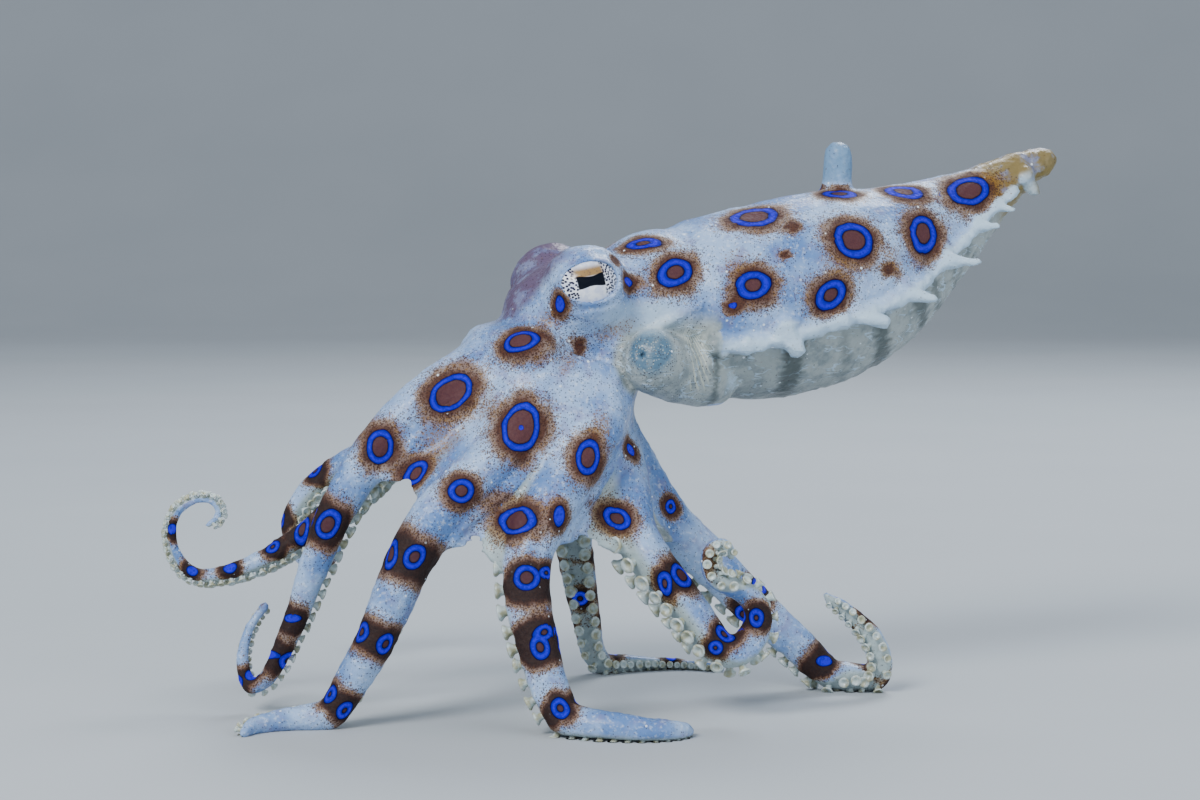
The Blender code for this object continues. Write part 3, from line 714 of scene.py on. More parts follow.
def openEyes(mesh):
    # presses the skin under each eyeball and raises a lid round the gap, with a crease and a fold behind it
    lids = {"sink": 0.45, "cover": 0.1, "rim": (0.93, 1.03), "fade": (2.2, 1.25), "front": 0.2, "reach": 2.4,
            # height, place in shares of the gap, and width
            "shapes": ((eye["lidHeight"], 1.08, 0.11), (-0.08, 1.38, 0.12), (0.07, 1.62, 0.14))}
    points = meshPoints(mesh)
    for side in (-1, 1):
        a, b, c = eyeLocal(points, side)
        q = eyeGap(a, b)
        inside = np.clip(1 - (a / eye["ball"][0]) ** 2 - (b / eye["ball"][1]) ** 2, 0, 1)
        ball = eye["ball"][2] * np.sqrt(inside)
        above = np.maximum(c, ball + lids["cover"])
        lid, crease, fold = (high * np.exp(-((q - at) / wide) ** 2) for high, at, wide in lids["shapes"])
        blend = rise(q, *lids["rim"])
        rim = (ball - lids["sink"]) * (1 - blend) + (above + lid) * blend
        behind = c + (above - c) * rise(q, *lids["fade"]) + lid + crease + fold
        goal = np.where(q < lids["rim"][1], rim, behind)
        move = np.where((c > lids["front"]) & (q < lids["reach"]), goal - c, 0)
        points += move[:, None] * np.asarray(right)[None, :] * side
    setPoints(mesh, points)


def relief(mesh):
    # fine folds, lumps and the pressed flats where arms lie on the floor
    depth = {"crease": 0.13, "bump": 0.07, "tail": 0.16, "groove": 0.3,
             "lumps": ((0.07, 3.4, 3), (0.045, 1.5, 5), (0.025, 0.8, 8))}    # height, scale and seed
    grooveAt = {"back": 7.3, "up": 37.0, "lean": 0.1, "half": 0.5}
    points, normals = meshPoints(mesh), meshNormals(mesh)
    behind, height = points @ np.asarray(back), points[:, 2]
    lump = sum(high * wave(points, scale, seed) for high, scale, seed in depth["lumps"])
    belly = rise(normals[:, 2], 0.15, -0.15) * rise(behind, 4.0, 7.0) * rise(height, 29.0, 32.0)
    creases = np.abs(wave(points * (0.6, 0.6, 1.6), 1.9, 41))
    lump += belly * depth["crease"] * rise(creases, 0.35, 0.0)
    above = rise(normals[:, 2], -0.1, 0.3)
    lump += above * depth["bump"] * rise(wave(points, 1.25, 43), 0.35, 0.9)
    lump += rise(behind, 43.0, 49.0) * depth["tail"] * wave(points, 2.2, 44)
    # a groove parts the funnel from the collar
    off = behind - grooveAt["back"] - grooveAt["lean"] * (grooveAt["up"] - height)
    groove = np.exp(-(off / grooveAt["half"]) ** 2) * rise(height, 30.5, 32.5) * rise(height, 38.5, 36.5)
    lump -= depth["groove"] * groove * rise(np.abs(points @ np.asarray(right)), 0.5, 2.5)
    points += normals * lump[:, None]
    points[:, 2] = np.maximum(points[:, 2], 0.0)
    setPoints(mesh, points)


def finishSkinMesh(obj):
    # order matters: the relief is laid before the eyes are opened in it
    triangles = sum(len(p.vertices) - 2 for p in obj.data.polygons)
    thin = obj.modifiers.new("Fewer faces", "DECIMATE")
    thin.ratio = min(1.0, skinMaking["triangles"] / triangles)
    settle(obj)
    refineAroundEyes(obj.data)
    relief(obj.data)
    openEyes(obj.data)
    obj.data.shade_smooth()


finishSkinMesh(skin)
print("skin shaped", len(skin.data.polygons))

eyeBoxLow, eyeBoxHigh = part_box("eye_left")
eyeCentre = headPoint(eye["back"], -eye["side"], eye["up"]) * mm
shift = eyeCentre - (eyeBoxLow + eyeBoxHigh) / 2


def place(obj):
    # from millimetres about the animal to metres in the frame
    obj.data.transform(Matrix.Translation(-shift) @ Matrix.Scale(mm, 4))
    obj.data.update()


# View from which the near side's spots are placed, in the animal's own millimetres.
viewing = {"target": Vector((0, 0, 30.3)), "distance": 300.0, "elevation": 4.0, "lens": 90.0}
lookFrom = viewing["target"] + viewing["distance"] * Vector((
    0, -math.cos(math.radians(viewing["elevation"])), math.sin(math.radians(viewing["elevation"]))))

# Rings on the near side: across, up, long and short half sizes, tilt in degrees.
bodyRings = (
    (7.5, 43.1, 1.65, 1.25, 35), (15.3, 41.8, 1.7, 1.3, 15), (23.0, 40.8, 1.6, 1.2, 40),
    (25.3, 46.3, 1.8, 1.65, 0), (32.2, 46.9, 1.7, 1.4, 80), (36.7, 51.2, 2.0, 1.55, 20),
    (15.3, 48.6, 2.35, 1.15, 12), (4.3, 46.0, 1.65, 0.6, 8), (23.8, 50.9, 1.7, 0.85, 5),
    (30.2, 51.1, 1.9, 0.9, -10), (13.2, 39.8, 0.42, 0.4, 0),
)
headRings = (
    (2.8, 42.1, 0.5, 0.45, 0), (-4.0, 39.9, 0.75, 0.42, 85), (-8.0, 36.3, 1.7, 1.05, 8),
    (-14.9, 31.0, 2.3, 1.5, 35),
)
webRings = (
    (-7.9, 27.6, 2.3, 1.75, 75), (-1.2, 24.6, 1.65, 1.1, 80), (-8.5, 18.3, 1.4, 1.35, 0),
    (-4.1, 18.6, 0.95, 0.5, 85), (1.7, 18.4, 1.35, 0.95, -30), (3.1, 25.3, 0.6, 0.32, -60),
    (-22.0, 25.6, 1.6, 1.25, 80), (-13.9, 21.2, 1.2, 1.1, 0), (-18.4, 22.9, 1.4, 0.75, 55),
    (7.1, 19.6, 0.68, 0.5, 80), (-7.9, 27.5, 0.26, 0.26, 0),
)
armRings = (
    (-27.3, 17.8, 1.5, 1.1, 55), (-29.9, 17.3, 1.4, 0.6, 75),
    (-18.6, 14.5, 1.25, 0.95, 55), (-21.0, 14.8, 1.45, 0.6, 85),
    (-7.4, 12.4, 1.2, 1.15, 0), (-5.4, 12.9, 0.6, 0.6, 0),
    (-2.0, 10.3, 0.8, 0.7, 0), (-5.6, 6.9, 0.85, 0.7, 30), (-4.2, 8.6, 0.95, 0.75, -40),
    (6.5, 11.8, 1.15, 0.6, 95), (8.2, 12.7, 1.3, 0.75, -60),
    (11.6, 5.3, 0.68, 0.68, 0), (12.5, 6.7, 1.0, 0.55, -40), (14.4, 8.7, 0.85, 0.85, 0),
    (16.0, 11.6, 0.9, 0.7, -40), (22.6, 4.0, 0.8, 0.5, 0),
    (-31.0, 8.3, 0.75, 0.4, 0), (-33.2, 4.6, 0.7, 0.4, 0),
)
# Brown spots without a ring: across, up, radius.
brownSpots = ((28.9, 43.4, 1.1), (19.0, 47.8, 0.9), (18.5, 44.8, 0.7), (-2.0, 35.8, 1.0), (1.5, 44.2, 0.6))
# Bands on the arms that the near side doesn't show: distances from the root.
farBands = {
    "left_1": (46.0,), "left_2": (34.0, 41.0), "left_3": (31.0, 37.5), "left_4": (38.0,),
    "right_4": (45.0, 51.0), "right_3": (10.0, 17.5, 24.5, 31.0, 37.5, 44.0),
    "right_2": (9.5, 17.0, 24.0, 31.0, 37.0, 43.0),
    "right_1": (10.0, 17.5, 25.0, 31.5, 36.5, 41.0, 45.5),
}
# Soft ochre smears: across, up, long and short half sizes, tilt.
ochreSmears = (
    (1.6, 37.3, 2.2, 0.45, 22), (-3.2, 34.0, 1.1, 0.5, 60), (-11.5, 29.5, 1.6, 1.0, 40),
    (-15.6, 26.4, 2.0, 1.6, 20), (24.0, 43.6, 1.2, 1.5, 90), (14.0, 43.6, 1.6, 0.9, 120),
    (-5.6, 37.8, 1.0, 0.6, 40), (29.0, 44.2, 1.2, 0.9, 60), (39.2, 51.8, 2.0, 1.0, 20),
    (0.2, 27.5, 1.2, 0.7, 70),
)
ringLook = {
    "bodyLine": 0.38, "line": 0.27, "pairAngle": 46.0, "haloGrow": 1.2, "dot": 0.56,
    "longest": 2.5, "narrowest": 0.3, "leastFacing": 0.66, "reach": 6.0, "apart": 3.4,
    "midline": 1.2, "groupWithin": 2.6, "bandShare": 1.25,
    # the far side's rings: how far they stray, and how much further back those of the web's front lie
    "stray": 0.5, "webPush": 3.6,
}


def treeOf(obj):
    mesh = obj.data
    return BVHTree.FromPolygons([v.co for v in mesh.vertices], [p.vertices for p in mesh.polygons])


def nearestStretch():
    # a look-up from a point to the arm and the distance along it that lie nearest
    tree = KDTree(sum(len(arm.path) for arm in armList.values()))
    owners = []
    for arm in armList.values():
        for i, spot in enumerate(arm.path):
            tree.insert(spot, len(owners))
            owners.append((arm, i * arm.step))
    tree.balance()
    return tree, owners


def seenRing(tree, x, z, longHalf, shortHalf, tilt):
    # a ring on the near side, laid on the skin so that it keeps the outline it shows from the viewing point
    toward = (Vector((x, 0, z)) - lookFrom).normalized()
    hit, normal, _, _ = tree.ray_cast(lookFrom, toward)
    if hit is None or normal is None:
        hit, normal, _, _ = tree.find_nearest(Vector((x, -8, z)))
    if normal.dot(toward) > 0:
        normal = -normal
    facing = max(ringLook["leastFacing"], -normal.dot(toward))
    slope = toward + normal * -normal.dot(toward)
    slope = -slope.normalized() if slope.length > 0.05 else Vector((1, 0, 0))
    level = slope.cross(normal).normalized()
    down = slope - toward * slope.dot(toward)
    a = math.radians(tilt)
    flat = []
    for axis in (Vector((math.cos(a), 0, math.sin(a))) * longHalf,
                 Vector((-math.sin(a), 0, math.cos(a))) * shortHalf):
        # undo the foreshortening along the slope, as far as it stays moderate
        seen = axis.dot(down.normalized()) / facing if down.length > 0.05 else axis.dot(slope)
        flat.append(slope * seen + level * axis.dot(level))
    longAxis, shortAxis = flat
    if shortAxis.length > longAxis.length:
        longAxis, shortAxis = shortAxis, longAxis
    longLength = min(longAxis.length, ringLook["longest"])
    longAxis.normalize()
    shortAxis = shortAxis - longAxis * shortAxis.dot(longAxis)
    shortLength = min(max(shortAxis.length, ringLook["narrowest"]), longLength)
    return {"at": hit, "normal": normal, "long": longAxis, "short": normal.cross(longAxis).normalized(),
            "size": (longLength, shortLength)}


def laidAt(at, normal, longAxis):
    longAxis = (longAxis - normal * longAxis.dot(normal)).normalized()
    return {"at": at, "normal": normal, "long": longAxis, "short": normal.cross(longAxis).normalized()}


def otherSide(v):
    return v - right * 2 * v.dot(right)


def mirrored(tree, near, push=0.0):
    # the same mark on the far side, pushed a little along the body
    hit, normal, _, _ = tree.find_nearest(otherSide(near["at"]) + back * push)
    return {**near, **laidAt(hit, normal, otherSide(near["long"]))}


def armRing(tree, arm, s, angle, size):
    spot, radius, ahead, out = arm.at(s)
    way = out * math.cos(angle) + out.cross(ahead) * math.sin(angle)
    hit, _, _, _ = tree.find_nearest(spot + way * radius)
    return {**laidAt(hit, way, ahead), "size": (size, size * 0.8)}


def bodyMarks(tree):
    # rings of the mantle, head and web, with those of the mantle and head on both sides
    rings = []
    for ring in (*bodyRings, *headRings, *webRings):
        near = seenRing(tree, *ring)
        near["line"] = ringLook["bodyLine"] if ring in bodyRings else ringLook["line"]
        rings.append(near)
        if ring not in webRings and abs(near["at"].dot(right)) > ringLook["midline"]:
            push = ringLook["stray"] * math.sin(7.1 * ring[0])
            rings.append(mirrored(tree, near, push + (ringLook["webPush"] if ring[0] < -5 else 0.0)))
    return rings


def nearArmRings(tree):
    # the rings given on the near arms, and by arm how far along, how far round and how big each is
    lookUp, owners = nearestStretch()
    rings, given = [], {}
    for ring in armRings:
        near = seenRing(tree, *ring)
        rings.append(near)
        arm, s = owners[lookUp.find(near["at"])[1]]
        spot, _, ahead, out = arm.at(s)
        away = near["at"] - spot
        angle = math.atan2(away.dot(out.cross(ahead)), away.dot(out))
        given.setdefault(arm.name, []).append((s, angle, max(near["size"])))
    return rings, given


def nearBands(tree, given):
    # a band for each group of rings, and a second ring beside one that stands alone
    rings, bands = [], []
    for name, found in given.items():
        arm, groups = armList[name], []
        for ring in sorted(found):
            if groups and ring[0] - groups[-1][-1][0] < ringLook["groupWithin"]:
                groups[-1].append(ring)
            else:
                groups.append([ring])
        for group in groups:
            size = max(ring[2] for ring in group)
            middle = sum(ring[0] for ring in group) / len(group)
            bands.append((arm, middle, size * ringLook["bandShare"] + 0.9))
            if len(group) == 1:
                s, angle, _ = group[0]
                turn = math.radians(ringLook["pairAngle"]) + abs(angle)
                turn = max(turn, (size * 1.9 + 0.4) / arm.at(s)[1])
                rings.append(armRing(tree, arm, s, angle - math.copysign(turn, angle), size * 0.9))
    return rings, bands


def pairedBands(tree):
    # bands the near side doesn't show, each with a pair of rings
    rings, bands = [], []
    for name, stops in farBands.items():
        arm = armList[name]
        for n, s in enumerate(stops):
            if s > arm.length - 1.5:
                continue
            size = 0.28 + 0.42 * arm.at(s)[1]
            turn = max(math.radians(ringLook["pairAngle"]), (size + 0.2) / arm.at(s)[1])
            for side in (-1, 1):
                rings.append(armRing(tree, arm, s + 0.35 * side * math.sin(n * 2.3), turn * side, size))
            bands.append((arm, s, size * ringLook["bandShare"] + 0.7))
    return rings, bands


def layMarks(obj):
    # every ring, spot and smear as its place, axes and size, and every band as its arm, place and width
    tree = treeOf(obj)
    armMarks, given = nearArmRings(tree)
    nearRings, bands = nearBands(tree, given)
    pairs, moreBands = pairedBands(tree)
    browns, smears = [], []
    for x, z, radius in brownSpots:
        near = seenRing(tree, x, z, radius, radius, 0)
        far = mirrored(tree, near)
        # a round spot keeps its axes on the far side
        browns += [near, {**near, "at": far["at"], "normal": far["normal"]}]
    for smear in ochreSmears:
        near = seenRing(tree, *smear)
        smears += [near, mirrored(tree, near)]
    return [*bodyMarks(tree), *armMarks, *nearRings, *pairs], bands + moreBands, browns, smears


def ringShares(points, normals, ring, grow=1.0, extra=0.0):
    # place about a ring's centre, as shares of its half sizes
    away = points - np.asarray(ring["at"])
    a, b, c = (away @ np.asarray(ring[name]) for name in ("long", "short", "normal"))
    ra, rb = ring["size"][0] * grow + extra, ring["size"][1] * grow + extra
    facing = normals @ np.asarray(ring["normal"])
    return np.stack([a / ra, b / rb, np.where(facing > -0.15, c / max(ra, rb) * 0.5, 9.0)], -1)


def ringDistance(points, normals, ring, grow=1.0, extra=0.0):
    # distance from a ring's centre as a share of its radius
    return np.linalg.norm(ringShares(points, normals, ring, grow, extra), axis=1)


def closeTo(points, ring):
    return np.nonzero(np.abs(points - np.asarray(ring["at"])).max(1) < ringLook["reach"])[0]


def ringLayers(points, normals, rings):
    # each point's place about its nearest ring, in two layers so that close rings stay whole
    count = len(points)
    layers = [{"rings": [], "far": np.full(count, 8.0), "shares": np.full((count, 3), 9.0),
               "scale": np.ones(count), "solid": np.zeros(count)} for _ in range(2)]
    for ring in rings:
        near = closeTo(points, ring)
        radius = sum(ring["size"]) / 2
        line = min(ring.get("line", ringLook["line"]), 0.33 * radius)
        isDot = min(ring["size"]) < ringLook["dot"]
        room = [min(((ring["at"] - other["at"]).length - other["size"][0] for other in layer["rings"]),
                    default=99.0) for layer in layers]
        layer = layers[0] if room[0] > ringLook["apart"] or room[0] >= room[1] else layers[1]
        layer["rings"].append(ring)
        shares = ringShares(points[near], normals[near], ring)
        gap = (np.linalg.norm(shares, axis=1) - 1) * radius / line + 0.9
        away = np.maximum(gap, 0) if isDot else np.abs(gap)
        better = away < layer["far"][near]
        chosen = near[better]
        layer["far"][chosen], layer["shares"][chosen] = away[better], shares[better]
        layer["scale"][chosen], layer["solid"][chosen] = radius / line, isDot
    return layers


def armPlaces(points):
    # the nearest arm's number, how far along it and from it, and -1 on its outer side to 1 under its suckers
    lookUp, owners = nearestStretch()
    names, count = list(armList), len(points)
    number = np.full(count, -1)
    along, oral, share = np.zeros(count), np.zeros(count), np.full(count, 9.0)
    for n, point in enumerate(points):
        _, index, away = lookUp.find(point)
        arm, s = owners[index]
        spot, radius, ahead, out = arm.at(s)
        offset = Vector(point) - spot
        number[n] = names.index(arm.name)
        along[n] = s + offset.dot(ahead)
        share[n] = away / radius
        oral[n] = -offset.dot(out) / max(away, 1e-6)
    on = (share < 1.35) & (along > 6)
    return {"number": number, "along": along, "share": share, "oral": oral, "on": on}


def mantlePlaces(points):
    # share of the mantle's length, degrees round from the back, and distance from the middle in half sizes
    steps, batch = 160, 4000
    spine = [mantleFrame(k / steps) for k in range(steps + 1)]
    centres, halves, _, rising = (np.array([list(row[n]) for row in spine]) for n in range(4))
    index = np.empty(len(points), int)
    for start in range(0, len(points), batch):
        part = points[start:start + batch]
        index[start:start + batch] = np.argmin(((part[:, None, :] - centres[None]) ** 2).sum(2), 1)
    away = points - centres[index]
    height, across = (away * rising[index]).sum(1), away @ np.asarray(right)
    return {"t": index / steps, "angle": np.degrees(np.arctan2(np.abs(across), height)), "across": across,
            "away": np.hypot(height, across) / halves[index].mean(1)}


def brownPatches(points, normals, rings, bands, browns, arm):
    # 0 in the middle of a patch and about 1 at its ragged edge
    ragged = 0.11 * wave(points, 2.6, 23) + 0.07 * wave(points, 1.1, 24)
    patch = np.full(len(points), 3.0)
    for ring in rings:
        near = closeTo(points, ring)
        halo = 0.6 + 0.2 * sum(ring["size"]) / 2
        halo = ringDistance(points[near], normals[near], ring, ringLook["haloGrow"], halo)
        patch[near] = np.minimum(patch[near], halo + ragged[near])
    for brown in browns:
        patch = np.minimum(patch, ringDistance(points, normals, brown, 1.0, 0.4) + ragged * 2.4 + 0.3)
    for owner, s, wide in bands:
        hit = arm["on"] & (arm["number"] == list(armList).index(owner.name))
        band = np.abs(arm["along"] - s) / wide + np.clip(arm["oral"] + 0.1, 0, 1) * 0.9 + ragged * 0.8
        patch = np.where(hit, np.minimum(patch, band), patch)
    return patch, ragged


# Grey bands across the belly: share of the mantle's length, half width and strength.
bellyBands = ((0.026, 0.010, 0.8), (0.188, 0.021, 1.0), (0.295, 0.008, 0.45), (0.374, 0.015, 1.0),
              (0.462, 0.010, 0.9), (0.503, 0.008, 0.8), (0.56, 0.007, 0.7), (0.61, 0.007, 0.6))

# Soft edges of the zones, each from where it starts to where it is full.
edges = {
    # shares of the mantle's length
    "ridgeStart": (0.012, 0.04), "ridgeEnd": (0.86, 0.74), "knobStart": (0.05, 0.08), "knobEnd": (0.9, 0.82),
    "tail": (0.69, 0.76),
    # degrees from the back, and distances in half sizes
    # the last pair here is where the painted shade under the belly starts and where it is full
    "knobFrom": (78, 92), "knobTo": (150, 138), "knobOut": (1.04, 1.12), "underShade": (138, 172),
    # millimetres
    "finger": (0.5, 1.1), "faceAhead": (0.5, 2.0), "faceBeside": (3.0, 1.9), "funnel": (4.4, 3.5),
    "collarBack": (1.5, 4.0), "collarUp": (40.0, 37.5), "dustAway": (19.0, 7.0),
    "farShadeAcross": (1.5, 4.0), "farShadeFront": (-0.5, -3.0), "farShadeUp": (38.0, 40.5),
    "crest": (-1.0, 0.3), "crestUp": (37.4, 39.2), "ink": (15, 23),
    "fibresFrom": (5.4, 6.4), "fibresTo": (8.6, 7.8), "fibresUp": (31.2, 32.2), "fibresTop": (38.0, 37.0),
    # shares of a patch's or the cheek's radius
    "ochre": (1.3, 0.3), "cheek": (1.3, 0.5), "cheekDust": (0.6, 1.3),
}
cheekAt = {"back": 1.2, "up": 38.9, "long": 5.0, "tall": 1.7, "across": 4.5}


def mantleZones(points, sack, onMantle):
    # the cream belly, the pale ridge with its knobs, the belly's bands with painted shade darkening its
    # underside, and the golden tail
    t, angle = sack["t"], sack["angle"]
    line = ridgeAngle(t)
    belly = np.where(onMantle, rise(angle, line + 1.0, line + 5.0), 0)
    ridge = np.exp(-((angle - line + 1.5 * wave(points, 2.2, 36)) / 4.8) ** 2)
    ridge *= rise(t, *edges["ridgeEnd"]) * rise(t, *edges["ridgeStart"])
    knobs = rise(sack["away"], *edges["knobOut"]) * rise(t, *edges["knobStart"]) * rise(t, *edges["knobEnd"])
    knobs *= rise(angle, *edges["knobFrom"]) * rise(angle, *edges["knobTo"])
    pale = np.where(onMantle, np.maximum(ridge, knobs), 0)
    sway = 0.003 * wave(points, 6, 31) + 0.00035 * (angle - 140)
    band = np.zeros(len(points))
    for centre, wide, dark in bellyBands:
        band = np.maximum(band, dark * rise(np.abs(t - centre - sway), wide * 1.2, wide * 0.8))
    # painted shade: the belly darkens towards its underside
    band = np.maximum(band, 0.5 * rise(angle, *edges["underShade"])) * belly
    tail = np.where(onMantle, rise(t + 0.02 * wave(points, 3.0, 33), *edges["tail"]), 0)
    return belly, pale, band, tail


def funnelZones(points, normals):
    # the blue face round the funnel's mouth, and its cream tube
    axis = smoothPath(funnel["path"], 0.5)
    end, way = np.asarray(axis[-1]), np.asarray(directions(axis)[-1])
    ahead = (points - end) @ way
    beside = np.linalg.norm(points - (end + np.array([1.1, 0, 0.5])) - ahead[:, None] * way, axis=1)
    face = rise(ahead, *edges["faceAhead"]) * rise(beside, *edges["faceBeside"]) * (ahead < 4)
    face *= 1 + 0.35 * wave(points, 2.4, 35)
    return face, rise(distanceTo(points, end), *edges["funnel"]) * (normals @ way > -0.4)


def farShadeZone(points, sideways, behind, onMantle, share):
    # painted shade: the far side's brow, seen past the near one, is dulled to a dark mauve
    height = points[:, 2]
    shadeMauve = rise(sideways, *edges["farShadeAcross"]) * rise(behind, *edges["farShadeFront"])
    shadeMauve *= rise(height, *edges["farShadeUp"]) * (1 - onMantle)
    # and the same painted shade over the crest of the head
    crest = -3.8 - 0.84 * (45.3 - height) - behind + 0.35 * sideways + 0.3 * wave(points, 3.0, 37)
    return np.maximum(shadeMauve, rise(crest, *edges["crest"]) * rise(height, *edges["crestUp"]) * (share > 1.3))


def writeValues(mesh, name, values, kind="FLOAT"):
    attribute = mesh.attributes.new(name, kind, "POINT")
    word = "vector" if kind == "FLOAT_VECTOR" else "value"
    attribute.data.foreach_set(word, np.asarray(values, np.float32).ravel())


def paintSkin(obj):
    mesh = obj.data
    points, normals = meshPoints(mesh), meshNormals(mesh)
    rings, bands, browns, smears = layMarks(obj)
    layers = ringLayers(points, normals, rings)
    arm, sack = armPlaces(points), mantlePlaces(points)
    share = arm["share"]
    patch, ragged = brownPatches(points, normals, rings, bands, browns, arm)
    ochre = np.zeros(len(points))
    for smear in smears:
        q = ringDistance(points, normals, smear, 1.0, 0.4)
        ochre = np.maximum(ochre, rise(q + ragged * 1.5, *edges["ochre"]))
    sideways, behind, height = points @ np.asarray(right), points @ np.asarray(back), points[:, 2]
    onMantle = (behind > 7.9) & (height > 30) & (share > 1.6)
    belly, pale, band, tail = mantleZones(points, sack, onMantle)
    root = np.asarray(backRoot())
    finger = rise(height - root[2], *edges["finger"]) * (distanceTo(points[:, :2], root[:2]) < 3)
    # the cheek below each eye is clear and bright
    cheek = points - np.asarray(headPoint(cheekAt["back"], 0, cheekAt["up"]))
    cheek = np.hypot(cheek @ np.asarray(back) / cheekAt["long"], cheek @ np.asarray(up) / cheekAt["tall"])
    bright = 0.7 * rise(cheek, *edges["cheek"]) * (np.abs(sack["across"]) > cheekAt["across"])
    pale = np.maximum(pale, bright)
    funnelFace, tube = funnelZones(points, normals)
    collar = rise(behind, *edges["collarBack"]) * rise(height, *edges["collarUp"]) * (share > 1.5)
    collar = np.where(behind < 9.5, np.maximum(collar, tube), belly)
    # fine freckles are thick on the head and the upper web, scarce elsewhere
    dusty = 0.62 * rise(distanceTo(points, headPoint(-3.0, 0, 37.0)), *edges["dustAway"])
    dusty = 0.12 + dusty * (0.75 + 0.35 * wave(points, 4.5, 34))
    dusty = np.where(onMantle, dusty * 0.3, dusty) * (rise(cheek, *edges["cheekDust"]) * 0.8 + 0.2)
    fibres = rise(behind, *edges["fibresFrom"]) * rise(behind, *edges["fibresTo"]) * (np.abs(sideways) > 1.5)
    fibres *= rise(height, *edges["fibresUp"]) * rise(height, *edges["fibresTop"])
    patch = patch + np.maximum(belly, collar * 0.9) * 1.5 + pale * 0.35 + finger * 2
    values = {
        # the band values hold the belly's grey bands and the painted shade under it
        "patch": patch, "belly": np.maximum(belly, collar), "pale": pale, "band": band, "tail": tail,
        "oral": np.where(arm["on"] | (share < 2.2), np.clip(arm["oral"], 0, 1), 0),
        "ochre": ochre, "dusty": dusty,
        # painted shade on the far brow and the crest of the head
        "shadeMauve": farShadeZone(points, sideways, behind, onMantle, share),
        "inky": np.where(arm["on"], rise(arm["along"], *edges["ink"]), 0.0),
        "funnelFace": funnelFace, "finger": finger, "fibres": fibres,
    }
    for name, value in values.items():
        writeValues(mesh, name, value)
    for k, layer in enumerate(layers):
        writeValues(mesh, f"ringFar{k}", np.clip(layer["far"] - 3.2, 0, 6) + finger * 3)
        writeValues(mesh, f"ringScale{k}", layer["scale"])
        writeValues(mesh, f"ringSolid{k}", layer["solid"])
        writeValues(mesh, f"ringShares{k}", layer["shares"], "FLOAT_VECTOR")


paintSkin(skin)
print("skin painted")


class Value:
    # a value in a node tree that can be added, multiplied and so on
    def __init__(self, graph, socket):
        self.graph, self.socket = graph, socket

    def __add__(self, other):
        return self.graph.maths("ADD", self, other)

    def __sub__(self, other):
        return self.graph.maths("SUBTRACT", self, other)

    def __rsub__(self, other):
        return self.graph.maths("SUBTRACT", other, self)

    def __mul__(self, other):
        return self.graph.maths("MULTIPLY", self, other)

    def __truediv__(self, other):
        return self.graph.maths("DIVIDE", self, other)

    def __abs__(self):
        return self.graph.maths("ABSOLUTE", self)


class Graph:
    # short forms for building a node tree
    def __init__(self, tree):
        self.tree = tree

    def put(self, socket, value):
        if isinstance(value, Value):
            self.tree.links.new(value.socket, socket)
        elif value is not None:
            socket.default_value = value

    def fill(self, made, inputs):
        for name, value in inputs.items():
            self.put(made.inputs[name], value)

    def node(self, kind, inputs=None, **settings):
        made = self.tree.nodes.new(kind)
        for name, value in settings.items():
            setattr(made, name, value)
        self.fill(made, inputs or {})
        return made

    def value(self, kind, inputs=None, output=0, **settings):
        return Value(self, self.node(kind, inputs, **settings).outputs[output])

    def maths(self, operation, *values):
        return self.value("ShaderNodeMath", dict(enumerate(values)), operation=operation)

    def step(self, value, low, high, toLow=0.0, toHigh=1.0):
        ends = dict(enumerate((value, low, high, toLow, toHigh)))
        return self.value("ShaderNodeMapRange", ends, interpolation_type="SMOOTHSTEP")

    def mix(self, share, a, b):
        return self.value("ShaderNodeMix", {0: share, 6: a, 7: b}, 2, data_type="RGBA")

    def noise(self, vector, scale, detail=2.0, rough=0.5):
        inputs = {"Vector": vector, "Scale": scale, "Detail": detail, "Roughness": rough}
        return self.value("ShaderNodeTexNoise", inputs, "Fac")

    def cells(self, vector, scale, randomness=1.0, **settings):
        inputs = {"Vector": vector, "Scale": scale, "Randomness": randomness}
        return self.value("ShaderNodeTexVoronoi", inputs, "Distance", feature="F1", **settings)

    def attribute(self, name, output="Fac"):
        return self.value("ShaderNodeAttribute", output=output, attribute_name=name)

    def axes(self, vector):
        made = self.node("ShaderNodeSeparateXYZ", {0: vector})
        return [Value(self, socket) for socket in made.outputs]

    def scaled(self, vector, scale):
        return self.value("ShaderNodeVectorMath", {0: vector, "Scale": scale}, operation="SCALE")

    def millimetres(self):
        return self.scaled(self.value("ShaderNodeTexCoord", output="Object"), 1000.0)

    def dots(self, vector, scale, amount, size):
        inputs = {"Vector": vector, "Scale": scale, "Amount": amount, "Size": size}
        return self.value("ShaderNodeGroup", inputs, "Mask", node_tree=speckle)

    def bump(self, shader, height, strength, distance):
        made = self.value("ShaderNodeBump", {"Strength": strength, "Distance": distance, "Height": height})
        self.put(shader.inputs["Normal"], made)


def colour(r, g, b):
    # screen values from 0 to 255 as linear light
    line = [(c / 255 / 12.92) if c < 10.3 else ((c / 255 + 0.055) / 1.055) ** 2.4 for c in (r, g, b)]
    return (*line, 1.0)


def groupInputs(tree, rows):
    # adds a group's inputs and gives their identifiers by name
    ids = {}
    for name, kind, value in rows:
        socket = tree.interface.new_socket(name, in_out="INPUT", socket_type=f"NodeSocket{kind}")
        if value is not None:
            socket.default_value = value
        ids[name] = socket.identifier
    return ids


